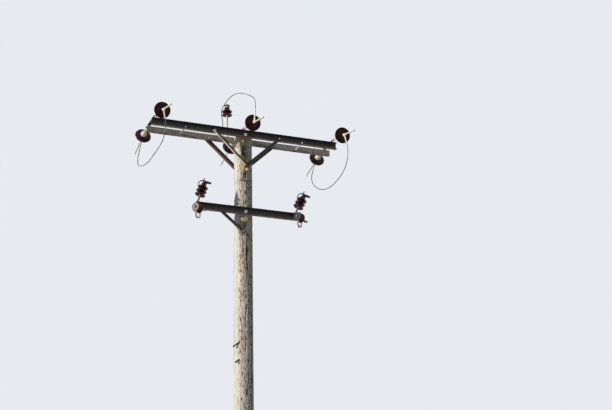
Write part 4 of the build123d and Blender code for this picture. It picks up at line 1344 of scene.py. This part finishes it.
def post_surfaces(name):
    """Porcelain, pin and top clamp of a leaning post, each as a list of surfaces."""
    x, lean = POSTS[name]
    axis = np.array([math.sin(math.radians(lean)), 0, math.cos(math.radians(lean))])
    base = np.array([x, POST_Y, LOWER_ARM_HIGH])
    bend = base + UP * 0.014
    body = [(0, POST_STEM + 59), (14.3, POST_STEM + 59), (14.3, POST_STEM), (24, POST_STEM - 0.4)]
    for n in range(3):
        body += shed(34, POST_STEM + n * POST_PITCH, POST_PITCH)
    body += [(34, POST_TOP - 6), (31, POST_TOP - 0.5), (0, POST_TOP)]
    mask = lip_mask(SHED_RADIUS + 1)
    porcelain = [turned(eased(body, 2.4), bend, axis, BACK, columns=64, mask=mask)]

    t = np.linspace(0, 1, 9)[:, None]
    curve = bend - UP * 0.010 + UP * 0.02 * t + (axis - UP) * 0.02 * t**2
    curve = np.concatenate([curve, (bend + axis * (POST_STEM + 55) * MM)[None]])
    foot = eased([(0, -31), (10, -31), (10, 0), (21, 0), (21, 11), (17, 15), (0, 15)], 1.6)
    pin = [
        turned(foot, base, UP, columns=28),
        nut(base - UP * 0.0086, -UP, 16.0, 13.0),
        tube(curve, POST_STEM_RADIUS, BACK, 20),
    ]

    top = bend + axis * POST_TOP * MM
    right = np.cross(BACK, axis)
    lug = eased([(0, 0), (27, 0), (27, 8), (20, 12), (18, 28), (14, 31), (0, 31)], 1.8)
    t = np.linspace(0, 1, 22)[:, None]
    horn = top + right * (-0.018 - 0.060 * np.sin(0.5 * np.pi * t)) + axis * (0.030 - 0.086 * t**2.1)
    clamp = [
        turned(lug, top, axis, BACK, columns=32),
        tube(horn, 0.0086 - 0.0028 * t[:, 0], BACK, 14),
        slab(WING, 18, top, right, axis, 2.5),
        slab(EAR, 12, top, right, axis, 2.0),
    ]
    for place in CLAMP_BOLTS:
        centre = top + (right * place[0] + axis * place[1]) * MM
        for out in (-BACK, BACK):
            clamp.append(washer(centre + out * 0.009, out, 10.0, 2.0, UP))
            clamp.append(nut(centre + out * 0.011, out, 8.0, 6.5, UP))
    return porcelain, pin, clamp


class POLE_OT_posts(bpy.types.Operator):
    """Make the two leaning insulator posts on the lower arm"""

    bl_idname = "utility_pole.posts"
    bl_label = "Insulator posts"

    def execute(self, context):
        settings = context.scene.utility_pole
        glaze = glaze_material(settings.glaze)
        metal, dark = dull_iron(settings.metal), dark_iron(settings.metal)
        for name in POSTS:
            porcelain, pin, clamp = post_surfaces(name)
            dress(f"{name}_post_insulator", "glazed", porcelain, glaze)
            dress(f"{name}_post_pin", "galvanised", pin, metal)
            dress(f"{name}_post_clamp", "dark", clamp, dark)
        return {"FINISHED"}


# Spools under the lower arm


# Each spool's place along the arm and how far it stands over the arm's underside in mm
SPOOLS = {"left": (-0.726, -30.0), "right": (0.729, 5.0)}
SPOOL_Y = -0.2564
SPOOL_OUT = unit((-0.77, -0.64, 0))
SPOOL_HALF = 45.0
SPOOL_RADIUS = 65.0
SPOOL_BORE = 8.6


def spool_ring(profile, radius, centre, mask=None):
    """Bored piece turned round a spool's axis from an open profile, which the bore closes."""
    profile = eased([*profile, profile[0]], radius)[:-1]
    return turned(profile, centre, SPOOL_OUT, UP, columns=64, mask=mask, ring=True)


class POLE_OT_spools(bpy.types.Operator):
    """Turn the two porcelain spools below the lower arm's ends, and their end plates"""

    bl_idname = "utility_pole.spools"
    bl_label = "Spools"

    def execute(self, context):
        settings = context.scene.utility_pole
        glaze = glaze_material(settings.glaze)
        metals = {"left": dull_iron(settings.metal), "right": dark_iron(settings.metal)}
        bore, wide, half, low = SPOOL_BORE, SPOOL_RADIUS, SPOOL_HALF, SPOOL_HALF + 6.0
        t = np.linspace(-1, 1, 15)
        groove = np.stack([42 + 19.5 * np.abs(t) ** 2.6, t * (half - 14)], 1)
        body = [
            (bore, -half), (wide - 6, -half), (wide, -half + 6), (wide - 0.5, -half + 12), *groove,
            (wide - 0.5, half - 12), (wide, half - 6), (wide - 6, half), (bore, half),
        ]
        plate = [
            (bore, low), (55, low), (56, low + 2), (56, low + 11), (54, low + 12), (49, low + 12),
            (45, low + 8), (40, low + 6), (26, low + 6), (21, low + 12), (bore, low + 12),
        ]
        for name, (x, above) in SPOOLS.items():
            centre = np.array([x, SPOOL_Y, LOWER_ARM_LOW + above * MM])
            surface = spool_ring(body, 2.4, centre, lip_mask(wide))
            dress(f"{name}_spool", "glazed", [surface], glaze)
            surface = spool_ring(plate, 1.2, centre)
            dress(f"{name}_end_plate", "dished", [surface], metals[name])
        return {"FINISHED"}


# Channels, braces, straps and fasteners


# Each steel piece's colour, the colour of its undersides and the height of the low edge that rusts.
# The dark steel paints the shade on the front faces, the undersides' colours paint the light or shade that
# falls on them, and the low edge's rust-brown is partly rust and partly painted light on the lit lower
# strip.
STEEL = {
    # The channels' and the lower arm's undersides are painted lighter for the light on their lower flanges.
    "front_channel": ("dark_shaded_steel", "lit_flange", FRONT_ARM_LOW),
    "back_channel": ("steel", "lit_flange", BACK_ARM_LOW),
    "lower_arm": ("dark_shaded_steel", "lit_flange", LOWER_ARM_LOW),
    # The front-left brace's undersides carry a painted highlight.
    "front_left_brace": ("dark_shaded_steel", "highlight_steel", None),
    "front_right_brace": ("dark_shaded_steel", "dark_shaded_steel", None),
    # The back-left brace's undersides are painted rust-orange for the light along its lower edge.
    "back_left_brace": ("dark_shaded_steel", "rust", None),
    "back_right_brace": ("dark_shaded_steel", "dark_shaded_steel", None),
    "lower_brace": ("dark_shaded_steel", "dark_shaded_steel", None),
}
IRON_NODES = (
    "left_spacer_rod", "right_spacer_rod", "crossarm_bolt", "brace_bolt", "lower_arm_bolt",
    "lower_brace_bolt", "front_brace_bolts", "back_brace_bolts",
)
STRAP_NODES = ("left_tie_strap", "middle_tie_strap", "right_tie_strap")
DULL_NODES = ("left_bow", "right_bow", "left_spool_bracket", "right_spool_bracket")
# Heads of the strap bolts: steps along and across the arm from each strap's middle, and height
STRAP_BOLTS = [(x, y) for y in (-0.142, 0.142) for x in (-0.012, 0.012)]
STRAP_TOP = 9.860
# Pegs driven into the log: angle round it, height, heading and dip in degrees, length in mm
PEGS = ((233.0, 6.820, 166.0, -38.0, 120.0), (229.0, 6.577, 186.0, -36.0, 80.0))


def mark_undersides(piece, highest=math.inf):
    """Store the mask underside on a piece's faces: 1 where one below a height looks down, else 0."""
    mesh = piece.data
    normals = np.zeros(len(mesh.polygons) * 3, np.float32)
    centres = np.zeros_like(normals)
    mesh.polygons.foreach_get("normal", normals)
    mesh.polygons.foreach_get("center", centres)
    down = ((normals[2::3] < -0.5) & (centres[2::3] < highest)).astype(np.float32)
    mesh.attributes.new("underside", "FLOAT", "FACE").data.foreach_set("value", down)


def pegs():
    """Two pegs with round heads that hang out of the log lower down."""
    surfaces = []
    for angle, height, heading, dip, length in PEGS:
        angle, heading, dip = math.radians(angle), math.radians(heading), math.radians(dip)
        radius = log_radius(height / POLE_HEIGHT) - 0.008
        seat = np.array([radius * math.cos(angle), radius * math.sin(angle), height])
        level = math.cos(dip)
        out = np.array([level * math.cos(heading), level * math.sin(heading), math.sin(dip)])
        shank = eased([
            (0, 0), (10, 0), (10, length - 9), (14, length - 8), (14.5, length - 3), (11, length),
            (0, length),
        ], 1.6)
        surfaces.append(turned(shank, seat, out, UP, columns=20))
    return surfaces


class POLE_OT_steelwork(bpy.types.Operator):
    """Give the channels, braces, straps and bolts their finish, and add the small fasteners"""

    bl_idname = "utility_pole.steelwork"
    bl_label = "Steelwork"

    def execute(self, context):
        settings = context.scene.utility_pole.metal
        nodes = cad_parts
        for node, (colour, under, low_edge) in STEEL.items():
            mark_undersides(nodes[node], math.inf if low_edge is None else low_edge + 0.004)
            nodes[node].material_slots[0].material = metal_material(
                f"{node}_steel", getattr(settings, colour), settings, "rolled", low_edge,
                under=getattr(settings, under),
            )
        metal = iron(settings)
        # The straps' downward faces are painted dark for the shade under them.
        strap = metal_material("strap_iron", settings.iron, settings, "strap", under=settings.dark_shaded_steel)
        for node in STRAP_NODES:
            mark_undersides(nodes[node])
        for names, finish in ((IRON_NODES, metal), (DULL_NODES, dull_iron(settings)), (STRAP_NODES, strap)):
            for name in names:
                nodes[name].material_slots[0].material = finish
        heads = [
            nut(np.array([x + step, y, STRAP_TOP]), UP, 8.5, 6.0)
            for x in LINES.values()
            for step, y in STRAP_BOLTS
        ]
        make_piece("strap_bolt_heads", heads, metal)
        make_piece("log_pegs", pegs(), dark_iron(settings))
        return {"FINISHED"}


# Stage


CAMERA_PLACE = (-6.1213, -17.9207, 1.568)
CAMERA_PAN, CAMERA_PITCH, CAMERA_ROLL = (math.radians(v) for v in (21.478, 20.857, -1.035))
CAMERA_LENS = 86.6
CAMERA_REACH = 500.0
TO_SUN = unit((-0.97, -0.20, 0.17))
SUN_COLOUR = (1.0, 0.95, 0.86)
FILL_COLOUR = (0.78, 0.89, 1.0, 1.0)
FLOOR_SHADE = (0.55, 0.53, 0.5, 1.0)
# The floor's rings in metres, and its top and underside in mm
FLOOR_RADII = np.array([0.0, 2, 5, 9, 14, 20, 30.0])
FLOOR_TOP = -2.0
FLOOR_LOW = -22.0


def turned_to(*directions):
    """Matrix whose columns are three directions."""
    return Matrix([list(d) for d in directions]).transposed().to_4x4()


def camera_matrix():
    """Place and turn of the camera: columns right, up and back, turned about the view by the roll."""
    pan, pitch, roll = CAMERA_PAN, CAMERA_PITCH, CAMERA_ROLL
    ahead = math.cos(pitch)
    forward = np.array([math.sin(pan) * ahead, math.cos(pan) * ahead, math.sin(pitch)])
    level = np.array([math.cos(pan), -math.sin(pan), 0.0])
    upright = np.cross(level, forward)
    right = level * math.cos(roll) + upright * math.sin(roll)
    up = upright * math.cos(roll) - level * math.sin(roll)
    return Matrix.Translation(CAMERA_PLACE) @ turned_to(right, up, -forward)


def seen_rays(tree):
    """1 for the rays that show a backdrop: camera, glossy and transmission rays."""
    path = tree.nodes.new("ShaderNodeLightPath").outputs
    seen = maths(tree, "MAXIMUM", path["Is Camera Ray"], path["Is Glossy Ray"])
    return maths(tree, "MAXIMUM", seen, path["Is Transmission Ray"])


def studio_world(settings):
    """World that fills softly and shows the plain backdrop."""
    world = bpy.data.worlds.new("studio")
    world.use_nodes = True
    tree = world.node_tree
    tree.nodes.clear()
    seen = seen_rays(tree)
    lights = [
        add(tree, "ShaderNodeBackground", {"Color": colour, "Strength": strength}).outputs[0]
        for colour, strength in ((FILL_COLOUR, settings.fill), (settings.backdrop, 1.0))
    ]
    mixed = add(tree, "ShaderNodeMixShader", {0: seen, 1: lights[0], 2: lights[1]})
    add(tree, "ShaderNodeOutputWorld", {"Surface": mixed.outputs[0]})
    return world


def floor_material(settings):
    """Pale, faintly mottled floor that shows some light of its own."""
    material, tree, shader, place = new_material("pale_floor")
    if tree is None:
        return material
    tone = spread(tree, patches(tree, place, scale=1.4, low=0.3, high=0.8)["Cloud"], 0.3, 0.7, 0.0, 0.08)
    feed(tree, shader, {
        "Base Color": blended(tree, tone, settings.floor, FLOOR_SHADE),
        "Roughness": 0.9,
        "Emission Color": settings.floor,
        "Emission Strength": times(tree, seen_rays(tree), settings.floor_lift),
    })
    return material


class POLE_OT_stage(bpy.types.Operator):
    """Lay the floor and set the backdrop, the lamps and the camera"""

    bl_idname = "utility_pole.stage"
    bl_label = "Stage"

    def execute(self, context):
        scene, settings = context.scene, context.scene.utility_pole.stage
        scene.view_settings.view_transform = "Standard"
        camera = linked("camera", bpy.data.cameras.new("camera"))
        camera.data.lens = CAMERA_LENS
        camera.data.sensor_width = 36.0
        camera.data.clip_end = CAMERA_REACH
        camera.matrix_world = camera_matrix()
        scene.camera = camera

        key = linked("key", bpy.data.lights.new("key", "SUN"))
        key.data.energy = settings.key
        key.data.angle = settings.softness
        key.data.color = SUN_COLOUR
        first, second = across_axis(TO_SUN, UP)
        key.matrix_world = turned_to(-second, first, TO_SUN)

        scene.world = studio_world(settings)
        edge = FLOOR_RADII[-1] / MM
        profile = [(radius / MM, FLOOR_TOP) for radius in FLOOR_RADII] + [(edge, FLOOR_LOW), (0, FLOOR_LOW)]
        floor = turned(profile, (0, 0, 0), UP, columns=96)
        mesh_object("floor", [floor], floor_material(settings), PIECE_SHARP)
        return {"FINISHED"}


class POLE_PT_panel(bpy.types.Panel):
    """Sidebar list of the pole's pieces and settings"""

    bl_idname = "POLE_PT_panel"
    bl_label = "Utility pole"
    bl_space_type = "VIEW_3D"
    bl_region_type = "UI"
    bl_category = "Pole"

    def draw(self, context):
        for operator in OPERATORS:
            self.layout.operator(operator.bl_idname)
        settings = context.scene.utility_pole
        for group in (settings.timber, settings.metal, settings.glaze, settings.wire, settings.stage):
            box = self.layout.box()
            for key in group.bl_rna.properties.keys():
                if key not in ("rna_type", "name"):
                    box.prop(group, key)


SETTINGS = (TimberSettings, MetalSettings, GlazeSettings, WireSettings, StageSettings, PoleSettings)
OPERATORS = (
    POLE_OT_log, POLE_OT_steelwork, POLE_OT_discs, POLE_OT_ironwork, POLE_OT_clamps, POLE_OT_jumpers,
    POLE_OT_riser, POLE_OT_posts, POLE_OT_spools, POLE_OT_stage,
)


def register():
    """Register the classes and hang the settings on the scene."""
    for made in (*SETTINGS, *OPERATORS, POLE_PT_panel):
        bpy.utils.register_class(made)
    bpy.types.Scene.utility_pole = bpy.props.PointerProperty(type=PoleSettings)


def unregister():
    """Take the settings off the scene and unregister the classes."""
    del bpy.types.Scene.utility_pole
    for made in reversed((*SETTINGS, *OPERATORS, POLE_PT_panel)):
        bpy.utils.unregister_class(made)


def main():
    """Make every piece in order."""
    register()
    for operator in OPERATORS:
        group, name = operator.bl_idname.split(".")
        getattr(getattr(bpy.ops, group), name)()


if __name__ == "__main__":
    main()
